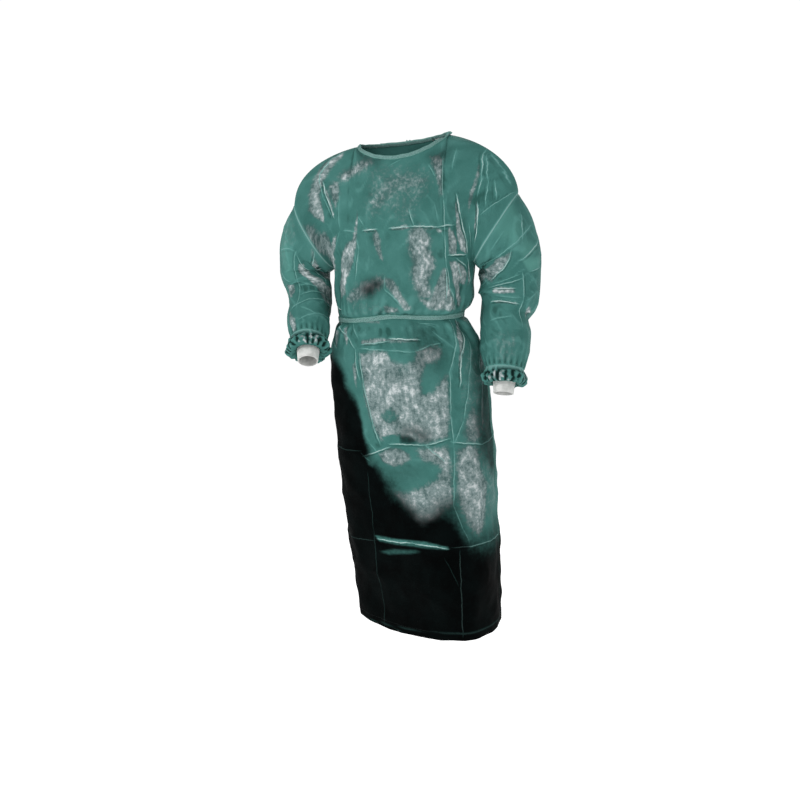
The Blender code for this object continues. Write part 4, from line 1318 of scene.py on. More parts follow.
def set_map(mesh, name, u, v):
    """A UV map in metres over the cloth."""
    layer = mesh.uv_layers.new(name=name)
    vertex = np.zeros(len(mesh.loops), np.int32)
    mesh.loops.foreach_get("vertex_index", vertex)
    layer.data.foreach_set("uv", np.stack([u, v], 1)[vertex].astype(np.float32).ravel())


def shown(name, data):
    """An object of some data, put in the scene."""
    made = bpy.data.objects.new(name, data)
    bpy.context.scene.collection.objects.link(made)
    return made


def add_piece(name, mesh, material, replaced):
    """Shows a finished mesh as a piece of the gown in place of the nodes that it stands for."""
    mesh.shade_smooth()
    mesh.set_sharp_from_angle(angle=math.radians(SHARP_DEGREES))
    if not mesh.materials:
        mesh.materials.append(material)
    made = shown(name, mesh)
    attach(made, "root")
    if replaced:
        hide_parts(*replaced)
    return made


class Laid:
    """A short way to lay nodes in a tree."""

    def put(self, kind, inputs=None, **settings):
        node = self.tree.nodes.new(kind)
        for setting, value in settings.items():
            setattr(node, setting, value)
        for key, value in (inputs or {}).items():
            if isinstance(value, bpy.types.NodeSocket):
                self.tree.links.new(value, node.inputs[key])
            else:
                node.inputs[key].default_value = value
        return node


class Nodes(Laid):
    """Short ways to lay shader nodes in one material."""

    def __init__(self, name):
        self.material = bpy.data.materials.new(name)
        self.material.use_nodes = True
        self.tree = self.material.node_tree
        self.shader = self.tree.nodes["Principled BSDF"]

    def sum(self, operation, first, second=0.0, third=0.0, clamp=False):
        inputs = {0: first, 1: second, 2: third}
        return self.put("ShaderNodeMath", inputs, operation=operation, use_clamp=clamp).outputs[0]

    def between(self, value, low, high, to_low=0.0, to_high=1.0):
        inputs = {0: value, 1: low, 2: high, 3: to_low, 4: to_high}
        return self.put("ShaderNodeMapRange", inputs, interpolation_type="SMOOTHSTEP").outputs[0]

    def times(self, first, second):
        return self.sum("MULTIPLY", first, second)

    def times_plus(self, first, second, third):
        return self.sum("MULTIPLY_ADD", first, second, third)

    def rest(self, value, clamp=False):
        """What a value leaves of one."""
        return self.sum("SUBTRACT", 1.0, value, clamp=clamp)

    def blend(self, factor, first, second):
        return self.put("ShaderNodeMix", {0: factor, 6: first, 7: second}, data_type="RGBA").outputs[2]

    def field(self, name, output="Fac"):
        return self.put("ShaderNodeAttribute", attribute_name=name).outputs[output]

    def three(self, operation, first, second=0.0, third=0.0):
        """One step worked on three numbers at once."""
        inputs = {}
        for key, value in enumerate((first, second, third)):
            inputs[key] = value if isinstance(value, bpy.types.NodeSocket) else (value, value, value)
        return self.put("ShaderNodeVectorMath", inputs, operation=operation).outputs[0]

    def most(self, value):
        """The largest of three numbers."""
        parts = self.put("ShaderNodeSeparateXYZ", {0: value}).outputs
        return self.sum("MAXIMUM", parts[0], self.sum("MAXIMUM", parts[1], parts[2]))

    def cloth_map(self, name):
        return self.put("ShaderNodeUVMap", uv_map=name).outputs[0]

    def noise(self, place, scale, detail=3.0, rough=0.55, twist=0.0):
        inputs = {"Vector": place, "Scale": scale, "Detail": detail, "Roughness": rough, "Distortion": twist}
        return self.put("ShaderNodeTexNoise", inputs).outputs["Fac"]

    def finish(self, colour, roughness, height, depth, specular, strength=0.6):
        bump = self.put("ShaderNodeBump", {"Strength": strength, "Distance": depth, "Height": height})
        self.tree.links.new(colour, self.shader.inputs["Base Color"])
        self.tree.links.new(roughness, self.shader.inputs["Roughness"])
        self.tree.links.new(bump.outputs[0], self.shader.inputs["Normal"])
        self.shader.inputs["Specular IOR Level"].default_value = specular
        return self.material


def segment_places(row, u, v, period=None):
    """How far places lie aside of a crease, to one side or the other, and how far they are along it."""
    start, end = np.array(row[:2]), np.array(row[2:4])
    length = np.hypot(*(end - start))
    ahead = (end - start) / length
    du, dv = u - start[0], v - start[1]
    middle = (end[0] - start[0]) / 2
    du = nearest_turn(du - middle, period) + middle
    return dv * ahead[0] - du * ahead[1], du * ahead[0] + dv * ahead[1], length


def clash_between(first, second, period):
    """Whether two creases come too close to share one field, unless one goes on from the other."""
    share = np.linspace(0, 1, 25)
    u, v = (first[k] + share * (first[k + 2] - first[k]) for k in (0, 1))
    aside, along, length = segment_places(second, u, v, period)
    past = np.maximum(np.maximum(-along, along - length), 0)
    if np.hypot(aside, past).min() > LINES_APART * LINE_REACH:
        return False
    ahead = [unit(np.array(row[2:4]) - np.array(row[:2])) for row in (first, second)]
    follows = min(math.dist(first[2:4], second[:2]), math.dist(second[2:4], first[:2])) < LINES_MEET
    return not (follows and ahead[0] @ ahead[1] > LINES_AHEAD)


def line_layers(creases, period):
    """The creases shared out so that those of one layer keep apart."""
    layers = []
    for row in creases:
        for layer in layers:
            if not any(clash_between(row, other, period) for other in layer):
                layer.append(row)
                break
        else:
            layers.append([row])
    if len(layers) > 3 * LINE_SETS:
        raise ValueError(f"{len(layers)} layers of creases")
    return layers


def line_fields(creases, u, v, period=None):
    """For each layer, how far every place is aside of its nearest crease and how strongly that shows."""
    fields, asides, lights = {}, [], []
    layers = line_layers(creases, period)
    for number in range(3 * LINE_SETS):
        aside, light = np.full_like(u, LINE_FAR), np.zeros_like(u)
        nearest = np.full_like(u, 1.0)
        for row in layers[number] if number < len(layers) else ():
            off, along, length = segment_places(row, u, v, period)
            past = np.maximum(np.maximum(-along, along - length), 0)
            away = np.hypot(off, past)
            closer = away < nearest
            full = np.clip(np.minimum(along, length - along) / LINE_FULL, 0, 1)
            ends = np.clip(1 - past / LINE_END, 0, 1) * (LINE_AT_END + (1 - LINE_AT_END) * full)
            reached = np.clip((LINE_REACH - np.abs(off)) / (LINE_SOFT * LINE_REACH), 0, 1)
            strength = row.light * ends * reached
            nearest[closer], aside[closer], light[closer] = away[closer], off[closer], strength[closer]
        asides.append(aside)
        lights.append(light)
    for number in range(LINE_SETS):
        part = slice(3 * number, 3 * number + 3)
        fields[f"aside_{number}"] = np.stack(asides[part], 1)
        fields[f"light_{number}"] = np.stack(lights[part], 1)
    return fields


def crease_lines(nodes, mottle):
    """The brightest painted crease highlight at each place and the deepest painted shade beside one, their
    paths wandering a little.
    """
    lines = lees = None
    wander = nodes.times(nodes.sum("SUBTRACT", mottle, 0.5), LINE_WANDER)
    for number in range(LINE_SETS):
        light = nodes.field(f"light_{number}", "Vector")
        aside = nodes.three("ADD", nodes.field(f"aside_{number}", "Vector"), wander)
        width = nodes.three("MULTIPLY_ADD", light, LINE_WIDER, LINE_WIDTH)
        near = nodes.three("SUBTRACT", 1.0, nodes.three("DIVIDE", nodes.three("ABSOLUTE", aside), width))
        near = nodes.three("MAXIMUM", near, 0.0)
        line = nodes.three("MULTIPLY", nodes.three("MULTIPLY", near, near), light)
        off = nodes.three("ABSOLUTE", nodes.three("SUBTRACT", aside, LEE_AWAY))
        lee = nodes.three("MULTIPLY", nodes.three("MULTIPLY_ADD", off, -LEE_FADE, 1.0), light)
        lines = line if lines is None else nodes.three("MAXIMUM", lines, line)
        lees = lee if lees is None else nodes.three("MAXIMUM", lees, lee)
    return nodes.most(lines), nodes.most(lees)


# Scale, detail, roughness and distortion of the noise of each of these: the coating's mottle, its broad
# clouds, its fine grain, the pressed fibre, the slow change of the green, and the wander of a crease
CLOTH_NOISES = (
    (105.0, 4.0, 0.62),
    (26.0, 3.0, 0.5),
    (380.0, 4.0, 0.65, 0.2),
    (1500.0, 3.0, 0.6, 0.8),
    (12.0, 4.0, 0.6, 0.3),
    (34.0, 3.0, 0.6),
)


def cloth_material(settings):
    """Coated nonwoven: flat green, a pressed fibre, painted sheen in grey patches, painted light and shade at
    creases and folds, painted deep shade.
    """
    nodes = Nodes("body_cloth")
    weave = nodes.cloth_map("weave")
    mottle, broad, fine, fibre, slow, path = (nodes.noise(weave, *given) for given in CLOTH_NOISES)

    # Painted sheen: grey highlights and reflections on the coated cloth in mottled patches, brighter on the ridges
    clouds = nodes.between(mottle, 0.28, 0.72, -0.5, 0.5)
    grain = nodes.times_plus(fine, 0.6, nodes.times_plus(fibre, 0.4, -0.5))
    crest = nodes.field("crest")
    sheen = nodes.times_plus(clouds, 0.25, nodes.field("sheen"))
    sheen = nodes.times_plus(grain, 0.18, sheen)
    grey = nodes.between(sheen, 0.06, 0.80, 0.0, 0.94)
    tone = nodes.times_plus(clouds, 0.55, nodes.times_plus(grain, 0.9, -0.02))
    tone = nodes.times_plus(nodes.between(broad, 0.3, 0.7, -0.5, 0.5), 0.42, tone)
    tone = nodes.times_plus(nodes.field("sheen"), 0.52, tone)
    tone = nodes.times_plus(crest, 0.25, tone)
    patch = nodes.blend(nodes.between(tone, 0.0, 0.5), settings.sheen_dull, settings.sheen_grey)
    patch = nodes.blend(nodes.between(tone, 0.45, 1.05), patch, settings.sheen_bright)

    uneven = nodes.times_plus(broad, 0.45, nodes.times(slow, 0.55))
    green = nodes.blend(nodes.between(uneven, 0.32, 0.66), settings.cloth_deep, settings.cloth_colour)
    green = nodes.blend(nodes.between(grain, -0.15, 0.20, 0.0, 0.16), green, settings.lit_crease_and_fleck)
    # Painted light on the ridges of the cloth and painted shade in its hollows
    green = nodes.blend(nodes.between(crest, 0.10, 0.95, 0.0, 0.42), green, settings.lit_crease_and_fleck)
    green = nodes.blend(nodes.between(crest, -0.95, -0.10, 0.62, 0.0), green, settings.valley_shade)
    green = nodes.blend(nodes.times(nodes.field("pale"), 0.85), green, settings.pale_colour)
    colour = nodes.blend(grey, green, patch)

    # Pale painted highlights along the creases, with painted shade along one side of each
    lines, lee = crease_lines(nodes, path)
    colour = nodes.blend(nodes.between(lee, 0.05, 0.8, 0.0, 0.75), colour, settings.valley_shade)

    # Painted deep shade, a little ragged at its edge, with the painted light on folds taken out of it
    ragged = nodes.times(clouds, nodes.between(nodes.field("shade"), 0.0, 0.3, 0.0, 0.16))
    left = nodes.rest(nodes.sum("ADD", nodes.field("shade"), ragged), clamp=True)
    deep = nodes.rest(nodes.times(left, left))
    # Painted light on folds within the painted deep shade
    glow = nodes.times(nodes.field("glow"), nodes.between(mottle, 0.2, 0.6, 0.65, 1.0))
    deep = nodes.times(deep, nodes.rest(nodes.between(glow, 0.05, 1.0)))
    deep_shade_colour = nodes.blend(nodes.between(slow, 0.3, 0.75), settings.shade_colour, settings.shade_lift)
    colour = nodes.blend(deep, colour, deep_shade_colour)

    # The painted crease highlights, with a pale line along the seams, the sleeve ends and the hem, faint in the
    # painted deep shade
    lines = nodes.sum("MAXIMUM", lines, nodes.times(nodes.field("seam"), 0.45))
    broken = nodes.times(lines, nodes.between(mottle, 0.30, 0.52, 0.5, 1.0))
    line_colour = nodes.blend(nodes.between(lines, 0.22, 0.80), settings.lit_crease_and_fleck, settings.edge_colour)
    lit = nodes.rest(nodes.times(deep, 0.93))
    colour = nodes.blend(nodes.times(nodes.between(broken, 0.02, 0.30), lit), colour, line_colour)

    rough = nodes.times_plus(grey, -0.08, nodes.times_plus(fine, 0.16, 0.48))
    height = nodes.times_plus(fibre, 0.10, nodes.times(fine, 0.20))
    height = nodes.times_plus(lines, 1.2, height)
    height = nodes.times_plus(mottle, 0.8, height)
    rough = nodes.times_plus(deep, 0.30, rough)
    return nodes.finish(colour, rough, height, 0.0013, settings.cloth_gloss)


def trim_material(settings):
    """Folded strips of the same cloth, paler where their edges are pressed."""
    nodes = Nodes("folded_strip")
    strip = nodes.cloth_map("strip")
    parts = nodes.put("ShaderNodeSeparateXYZ", {0: strip})
    aside = nodes.sum("ABSOLUTE", parts.outputs[1])
    edge = nodes.between(aside, 0.55, 0.95)
    mottle = nodes.noise(strip, 90.0, 5.0, 0.65, 0.4)
    fine = nodes.noise(strip, 500.0, 4.0, 0.6)
    colour = nodes.blend(nodes.between(mottle, 0.42, 0.60), settings.trim_colour, settings.trim_pale)
    colour = nodes.blend(nodes.times(edge, 0.55), colour, settings.edge_green)
    rough = nodes.times_plus(fine, 0.2, 0.42)
    height = nodes.times_plus(mottle, 0.7, nodes.times(fine, 0.3))
    return nodes.finish(colour, rough, height, 0.0012, settings.cloth_gloss)


def knit_material(settings):
    """White rib knit, with its loops drawn round each rib."""
    nodes = Nodes("rib_knit")
    place = nodes.put("ShaderNodeTexCoord").outputs["Object"]
    waves = {"Vector": place, "Scale": 260.0, "Distortion": 2.4, "Detail": 2.0, "Detail Scale": 3.0}
    loops = nodes.put("ShaderNodeTexWave", waves, bands_direction="Z").outputs["Fac"]
    fuzz = nodes.noise(place, 900.0, 4.0, 0.7)
    soft = nodes.noise(place, 60.0, 3.0, 0.5)
    colour = nodes.blend(nodes.between(soft, 0.3, 0.7), settings.cuff_colour, settings.cuff_shade)
    # Painted shade between the loops of the knit
    colour = nodes.blend(nodes.times(nodes.rest(loops), 0.22), colour, settings.cuff_shade)
    rough = nodes.times_plus(fuzz, 0.12, 0.80)
    height = nodes.times_plus(loops, 0.6, nodes.times(fuzz, 0.5))
    return nodes.finish(colour, rough, height, 0.0006, 0.2)


def thread_material(settings):
    """Spun sewing thread."""
    nodes = Nodes("sewing_thread")
    place = nodes.put("ShaderNodeTexCoord").outputs["Object"]
    twist = nodes.noise(place, 2600.0, 2.0, 0.5)
    colour = nodes.blend(nodes.between(twist, 0.3, 0.7), settings.thread_colour, settings.edge_green)
    # Painted shade: the thread darkens where the painted deep shade lies on the cloth
    colour = nodes.blend(nodes.times(nodes.field("dim"), 0.97), colour, settings.shade_lift)
    rough = nodes.times_plus(twist, 0.2, 0.5)
    return nodes.finish(colour, rough, twist, 0.0002, 0.25)


def material_once(name, make, *given):
    return bpy.data.materials.get(name) or make(*given)


def gown():
    return bpy.context.scene.gown


def lines_on(name, u, v):
    """The crease fields of one panel."""
    if name in SIDES:
        return line_fields(arm_creases(SIDES[name]), u, v, ARM_ROUND)
    return line_fields(creases_of(BODY_LINES), u, v)


def fields_of(name, u, v):
    """The painted fields of one panel: grey sheen, deep shade, the light on folds in it, pale cloth and seams."""
    if name in SIDES:
        sheens, pales = (LEFT_SHEEN, LEFT_PALE) if SIDES[name] > 0 else (RIGHT_SHEEN, RIGHT_PALE)
        sheens = list(sheens) + copied(ARM_BEHIND, sheens)
        sheen, pale = (
            patched(laid_out(rows, ARM_ROUND, ARM_LENGTH, (-1, 0, 1)), u, v) for rows in (sheens, pales)
        )
        seam = np.exp(-((v / SEAM_LINE) ** 2))
        seam = seam + 0.8 * np.exp(-(((v - ARM_LENGTH) / ARM_END_LINE) ** 2))
        return {"sheen": sheen, "shade": 0 * u, "glow": 0 * u, "pale": pale, "seam": seam}
    sheen = patched(laid_out(list(SHEEN) + copied(SHEEN_BEHIND, SHEEN)), u, v)
    shade = np.clip(shade_field(u, v) + patched(laid_out(DEEPER_SHADE), u, v), 0, 1)
    seam = np.exp(-((np.abs(np.abs(u) - SIDE_SEAM) / SEAM_LINE) ** 2))
    seam = np.maximum(seam, 0.7 * np.exp(-(((v - LENGTH + HEM_DROP) / HEM_LINE) ** 2)))
    return {"sheen": sheen, "shade": shade, "glow": patched(laid_out(FOLD_LIGHT), u, v), "pale": 0 * u, "seam": seam}


def make_panel(name, material):
    """One panel of cloth as a thin closed wall, with its maps and painted fields."""
    cloth, wall = surface(), gown().cloth_wall
    points, normals = cloth["grids"][name], cloth["normals"][name]
    closed = name in cloth["paths"]
    outer = drawn_in(points, normals, closed)
    mesh = wall_mesh(OBJECT_NAMES[name], outer, outer - wall * normals, closed)
    u, v, run = (np.tile(part.ravel(), 2) for part in cloth["places"][name])
    set_map(mesh, "weave", u, run)
    fields = {**fields_of(name, u, v), **lines_on(name, u, v)}
    fields["crest"] = np.tile(crest_of(points, normals, closed).ravel(), 2)
    # On a ruffle: painted highlights on its ridges and painted shade in its hollows, stronger than on the sleeve
    ruffle = (v > ARM_LENGTH) * closed
    if closed:
        sharper = np.clip(RUFFLE_CONTRAST * fields["crest"] - RUFFLE_DARKER, -1, 1)
        fields["crest"] = np.where(v > ARM_LENGTH, sharper, fields["crest"])
    shine = ease((fields["crest"] - 0.35) / 0.4) * ease(0.2 + rippled(RUFFLE_BROKEN, ARM_ROUND, u, v))
    hollow = ease((-0.25 - fields["crest"]) / 0.6)
    fields["sheen"] = np.maximum(fields["sheen"], RUFFLE_SHINE * shine * ruffle)
    fields["shade"] = np.maximum(fields["shade"], RUFFLE_SHADE * hollow * ruffle)
    for field, values in fields.items():
        set_field(mesh, field, values)
    return add_piece(OBJECT_NAMES[name], mesh, material, [name])


def add_trim(node, mesh):
    """A finished strip, knot or tie as a piece of its own."""
    material = material_once("folded_strip", trim_material, gown())
    return add_piece(f"gown_{node}", mesh, material, [node])


def tape_ring():
    """Corners of a strip's section, as shares of its half thickness and half width, a little hollow outside."""
    turn = np.linspace(0, 2 * math.pi, TAPE_CORNERS, endpoint=False)
    aside, out = np.cos(turn), np.sin(turn)
    aside = np.sign(aside) * np.abs(aside) ** 0.8
    out = np.sign(out) * np.abs(out) ** 0.6
    out = np.where(out > 0, out * (1 - TAPE_HOLLOW + TAPE_HOLLOW * np.abs(aside) ** 2), out)
    return out, aside


def strip_mesh(name, centres, normals, sideways, half_width, half_thickness, closed=False):
    """A folded strip carried along a line, rounded at its edges and closed at its ends."""
    out, aside = tape_ring()
    wide = np.broadcast_to(half_width, len(centres))[:, None, None]
    thick = np.broadcast_to(half_thickness, len(centres))[:, None, None]
    points = centres[:, None] + normals[:, None] * (out[None, :, None] * thick)
    points = points + sideways[:, None] * (aside[None, :, None] * wide)
    rows, columns = points.shape[:2]
    faces = [list(face) for face in quads(rows, columns, True)]
    if closed:
        last = (rows - 1) * columns
        for k in range(columns):
            n = (k + 1) % columns
            faces.append([last + k, k, n, last + n])
    else:
        faces.append(list(range(columns)))
        faces.append([(rows - 1) * columns + k for k in reversed(range(columns))])
    mesh = bpy.data.meshes.new(name)
    mesh.from_pydata(points.reshape(-1, 3).tolist(), [], faces)
    faces_outward(mesh)
    length = np.concatenate([[0], np.cumsum(np.linalg.norm(np.diff(centres, axis=0), axis=1))])
    set_map(mesh, "strip", np.repeat(length, columns), np.tile(aside, rows))
    return mesh


def stretch(rows, parts):
    """The points and the normals of some rows of several panels, side by side."""
    cloth = surface()
    return [
        np.concatenate([cloth[kind][name][rows, part] for name, part in parts], axis=-2)
        for kind in ("grids", "normals")
    ]


def neck_line():
    """The points, outward and upward directions of the neck's edge, from one lapped edge to the other."""
    neck = NECK_STEPS + LAP_STEPS
    parts = (
        ("back_right", slice(0, neck)),
        ("front", slice(SHOULDER_STEPS, -SHOULDER_STEPS)),
        ("back_left", slice(-neck, None)),
    )
    line, out = stretch(0, parts)
    upward = line - stretch(3, parts)[0]
    for direction in (out, unit(np.gradient(line, axis=0))):
        upward = upward - np.sum(upward * direction, axis=1, keepdims=True) * direction
    return line, out, unit(upward)


def binding_line():
    line, out, upward = neck_line()
    wander = BINDING_WANDER * np.sin(np.arange(len(line)) * 0.9) * np.sin(np.arange(len(line)) * 0.23)
    centres = line + upward * (BINDING_HEIGHT + SEAM_GAP) / 2 - out * gown().cloth_wall / 2
    return centres + upward * wander[:, None], out, upward


def make_binding():
    centres, out, upward = binding_line()
    mesh = strip_mesh("gown_neck_binding", centres, out, upward, BINDING_HEIGHT / 2, BINDING_THICKNESS / 2)
    return add_trim("neck_binding", mesh)


def belt_rows():
    """The belt's stretch of every panel's points and normals, as one closed band."""
    top = YOKE_ROWS + 1 + int(np.argmin(np.abs(lower_drops() - belt_drops()[0])))
    rows = slice(top, top + BELT_ROWS)
    first = 2 * LAP_STEPS + 1
    parts = (("back_right", slice(first, None)), ("front", slice(1, None)), ("back_left", slice(1, None)))
    return stretch(rows, parts)


def make_belt():
    """The waist belt as a folded strip that lies on the gathered cloth, uneven in its fold."""
    line, out = belt_rows()
    count = line.shape[1]
    step = np.arange(count)
    inner = line + out * SEAM_GAP
    share = np.linspace(-1, 1, BELT_ROWS)[:, None]
    swell = TAPE + BELT_SWELL * (1 - np.abs(share) ** 3) + 0 * step[None]
    # two slow waves at a time, so that no stretch looks like the next
    pleat = BELT_PLEAT * np.sin(step * 0.31 + 2.0 * share) * np.sin(step * 0.047 + 1.0)
    outer = inner + out * (swell + pleat)[..., None]
    width = 1 + BELT_UNEVEN * np.sin(step * 0.11) * np.sin(step * 0.037 + 0.5)
    for rows in (inner, outer):
        middle = rows[BELT_ROWS // 2]
        rows += (rows - middle[None]) * (width - 1)[None, :, None]
    mesh = wall_mesh("gown_belt", outer, inner, True)
    u = np.tile((step * BODY_STEP)[None] + 0 * share, (2, 1))
    v = np.tile(share + 0 * step[None], (2, 1))
    set_map(mesh, "strip", u.ravel(), v.ravel())
    return add_trim("belt", mesh)


def sampled(points, column, drop):
    """A point of a fine grid at a place between its columns and at a drop."""
    j = min(int(column), points.shape[1] - 2)
    p = column - j
    line = (1 - p) * points[:, j] + p * points[:, j + 1]
    row = float(np.interp(drop, np.maximum.accumulate(-line[:, 2]), np.arange(len(line))))
    i = min(int(row), len(line) - 2)
    return line[i] + (row - i) * (line[i + 1] - line[i])


def tie_line(start_drop, tied, way):
    """Where a loose end of tape hangs over the left back from its knot, with its directions."""
    cloth = surface()
    points, normals, across = (cloth[part]["back_left"] for part in ("grids", "normals", "across"))
    level = np.dstack([normals[..., :2], points[..., 2]])
    columns = np.arange(len(across))
    centres, out = [], []
    for share in np.linspace(0, 1, TIE_STEPS + 1):
        apart = way * (tied.apart + TIE_SPREAD * share)
        place = HALF_ROUND + apart + TIE_SWAY * share * math.sin(4 * share + way)
        column = float(np.interp(place, across, columns))
        drop = start_drop + tied.length * share
        normal = unit(sampled(level, column, drop) * [1, 1, 0])
        stand = tied.lift + TIE_STAND + TIE_FLUTTER * share * math.sin(9 * share + 2 * way)
        centres.append(sampled(points, column, drop) + normal * stand)
        out.append(normal)
    centres, out = np.array(centres), np.array(out)
    smooth = centres.copy()
    for _ in range(TIE_SMOOTHINGS):
        smooth[1:-1] = (smooth[:-2] + 2 * smooth[1:-1] + smooth[2:]) / 4
    sideways = unit(np.cross(unit(np.gradient(smooth, axis=0)), out))
    lean = TIE_LEAN * np.sin(np.linspace(0, 5, TIE_STEPS + 1) + way)[:, None]
    sideways = unit(sideways + lean * out)
    return smooth, unit(np.cross(sideways, np.gradient(smooth, axis=0))) * -1, sideways


def knot_foot(name):
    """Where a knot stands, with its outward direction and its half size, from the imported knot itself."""
    low, high = (np.array(corner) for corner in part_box(name))
    centre = (low + high) / 2
    out = unit(np.array([centre[0] * 0.2, 1.0, 0.0]))
    return centre, out, (high - low) / 2


# The two turns of strip that make a knot: the lean, width, height and depth of each, and its half width
KNOT_TURNS = ((0.35, 0.74, 0.52, 0.62, 0.34), (-0.55, 0.40, 0.80, 0.70, 0.30))


def knot_mesh(name):
    """A pulled knot: one turn of strip across and one down."""
    centre, out, half = knot_foot(name)
    side = unit(np.cross(out, [0.0, 0.0, 1.0]))
    up = np.array([0.0, 0.0, 1.0])
    turn = np.linspace(0, 2 * math.pi, 49)[:-1]
    parts = []
    for lean, wide, tall, deep, strip in KNOT_TURNS:
        across = math.cos(lean) * side + math.sin(lean) * up
        along = -math.sin(lean) * side + math.cos(lean) * up
        ring = np.cos(turn)[:, None] * across * half[0] * wide + np.sin(turn)[:, None] * out * half[1] * deep
        ring = ring + along * (0.10 * half[2] * np.sin(2 * turn))[:, None] + centre
        radial = unit(ring - centre)
        tangent = unit(np.roll(ring, -1, axis=0) - np.roll(ring, 1, axis=0))
        sideways = unit(np.cross(radial, tangent))
        strip_half = half[2] * strip * (1.15 + 0.35 * np.cos(2 * turn)) * (tall / 0.6)
        parts.append(strip_mesh(name, ring, radial, sideways, strip_half, KNOT_STRIP, closed=True))
    return joined(name, parts)


def joined(name, meshes):
    """Several meshes as one, their maps kept."""
    shape = bmesh.new()
    for mesh in meshes:
        shape.from_mesh(mesh)
    made = bpy.data.meshes.new(name)
    shape.to_mesh(made)
    shape.free()
    return made


def make_fastenings():
    """The tied ends of the neck binding and of the belt, behind."""
    for part, tied in (("neck", NECK_TIED), ("belt", BELT_TIED)):
        add_trim(f"{part}_knot", knot_mesh(f"{part}_knot"))
        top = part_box(f"{part}_tie_1")[1][2]
        for number, way in ((1, -1), (2, 1)):
            centres, out, sideways = tie_line(-top - TIE_BELOW_TOP, tied, way)
            wide = np.linspace(TIE_NARROWED, 1.0, len(centres)) * TIE_WIDTH / 2
            mesh = strip_mesh(f"gown_{part}_tie_{number}", centres, out, sideways, wide, TAPE / 2)
            add_trim(f"{part}_tie_{number}", mesh)


class Tree(Laid):
    """Short ways to lay geometry nodes in one tree that ends in Realize Instances and Set Material."""

    def __init__(self, name, sockets):
        self.tree = bpy.data.node_groups.new(name, "GeometryNodeTree")
        self.tree.interface.new_socket(name="Geometry", in_out="INPUT", socket_type="NodeSocketGeometry")
        for socket, (kind, value) in sockets.items():
            made = self.tree.interface.new_socket(name=socket, in_out="INPUT", socket_type=kind)
            made.default_value = value
        self.tree.interface.new_socket(name="Geometry", in_out="OUTPUT", socket_type="NodeSocketGeometry")
        self.given = self.tree.nodes.new("NodeGroupInput")

    def named(self, name):
        return self.put("GeometryNodeInputNamedAttribute", {"Name": name}, data_type="FLOAT_VECTOR").outputs[0]

    def turned(self, axis, toward, pivot, facing):
        """A rotation that points one axis along a way, then turns another about it to face a way."""
        first = self.put("FunctionNodeAlignEulerToVector", {"Vector": toward}, axis=axis)
        inputs = {"Rotation": first.outputs[0], "Vector": self.named("facing")}
        return self.put("FunctionNodeAlignEulerToVector", inputs, axis=facing, pivot_axis=pivot).outputs[0]

    def end(self, points, instance, rotation, material):
        """Lays an instance on every point, makes them one mesh and gives it its material."""
        inputs = {"Points": points, "Instance": instance, "Rotation": rotation}
        laid = self.put("GeometryNodeInstanceOnPoints", inputs)
        real = self.put("GeometryNodeRealizeInstances", {"Geometry": laid.outputs[0]})
        last = self.put("GeometryNodeSetMaterial", {"Geometry": real.outputs[0]})
        last.inputs["Material"].default_value = material
        out = self.tree.nodes.new("NodeGroupOutput")
        self.tree.links.new(last.outputs[0], out.inputs[0])
        return self.tree


def made_by(tree, guide, values):
    """The plain mesh that a tree makes of a guide, which is then taken away."""
    made = shown("guide", guide)
    modifier = made.modifiers.new("nodes", "NODES")
    modifier.node_group = tree
    for item in tree.interface.items_tree:
        if item.item_type == "SOCKET" and item.in_out == "INPUT" and item.name in values:
            modifier[item.identifier] = values[item.name]
    bpy.context.view_layer.update()
    seen = made.evaluated_get(bpy.context.evaluated_depsgraph_get())
    mesh = bpy.data.meshes.new_from_object(seen)
    bpy.data.objects.remove(made, do_unlink=True)
    return mesh


def guide_lines(lines):
    """Open lines of points, each with the way that its surface faces and how deep the painted shade is there."""
    points, edges, facing, dim = [], [], [], []
    for line, out, shade in lines:
        start = len(points)
        points += [tuple(point) for point in line]
        facing += [tuple(way) for way in out]
        dim += list(shade)
        edges += [(start + k, start + k + 1) for k in range(len(line) - 1)]
    mesh = bpy.data.meshes.new("guide")
    mesh.from_pydata(points, edges, [])
    set_field(mesh, "facing", facing)
    set_field(mesh, "dim", dim)
    return mesh


def stitch_tree(material):
    """Stitches of thread laid at a pitch along each guide line."""
    nodes = Tree(
        "stitches",
        {
            "Pitch": ("NodeSocketFloat", 0.004),
            "Stitch Length": ("NodeSocketFloat", 0.0026),
            "Thread": ("NodeSocketFloat", 0.0004),
        },
    )
    given = nodes.given.outputs
    curve = nodes.put("GeometryNodeMeshToCurve", {"Mesh": given["Geometry"]})
    lengths = {"Curve": curve.outputs[0], "Length": given["Pitch"]}
    spaced = nodes.put("GeometryNodeResampleCurve", lengths, mode="LENGTH")
    sizes = {"Vertices": 6, "Radius": given["Thread"], "Depth": given["Stitch Length"]}
    thread = nodes.put("GeometryNodeMeshCylinder", sizes)
    laid_down = {"Geometry": thread.outputs[0], "Rotation": (0.0, math.pi / 2, 0.0)}
    stitch = nodes.put("GeometryNodeTransform", laid_down)
    tangent = nodes.put("GeometryNodeInputTangent")
    rotation = nodes.turned("X", tangent.outputs[0], "X", "Z")
    return nodes.end(spaced.outputs[0], stitch.outputs[0], rotation, material)


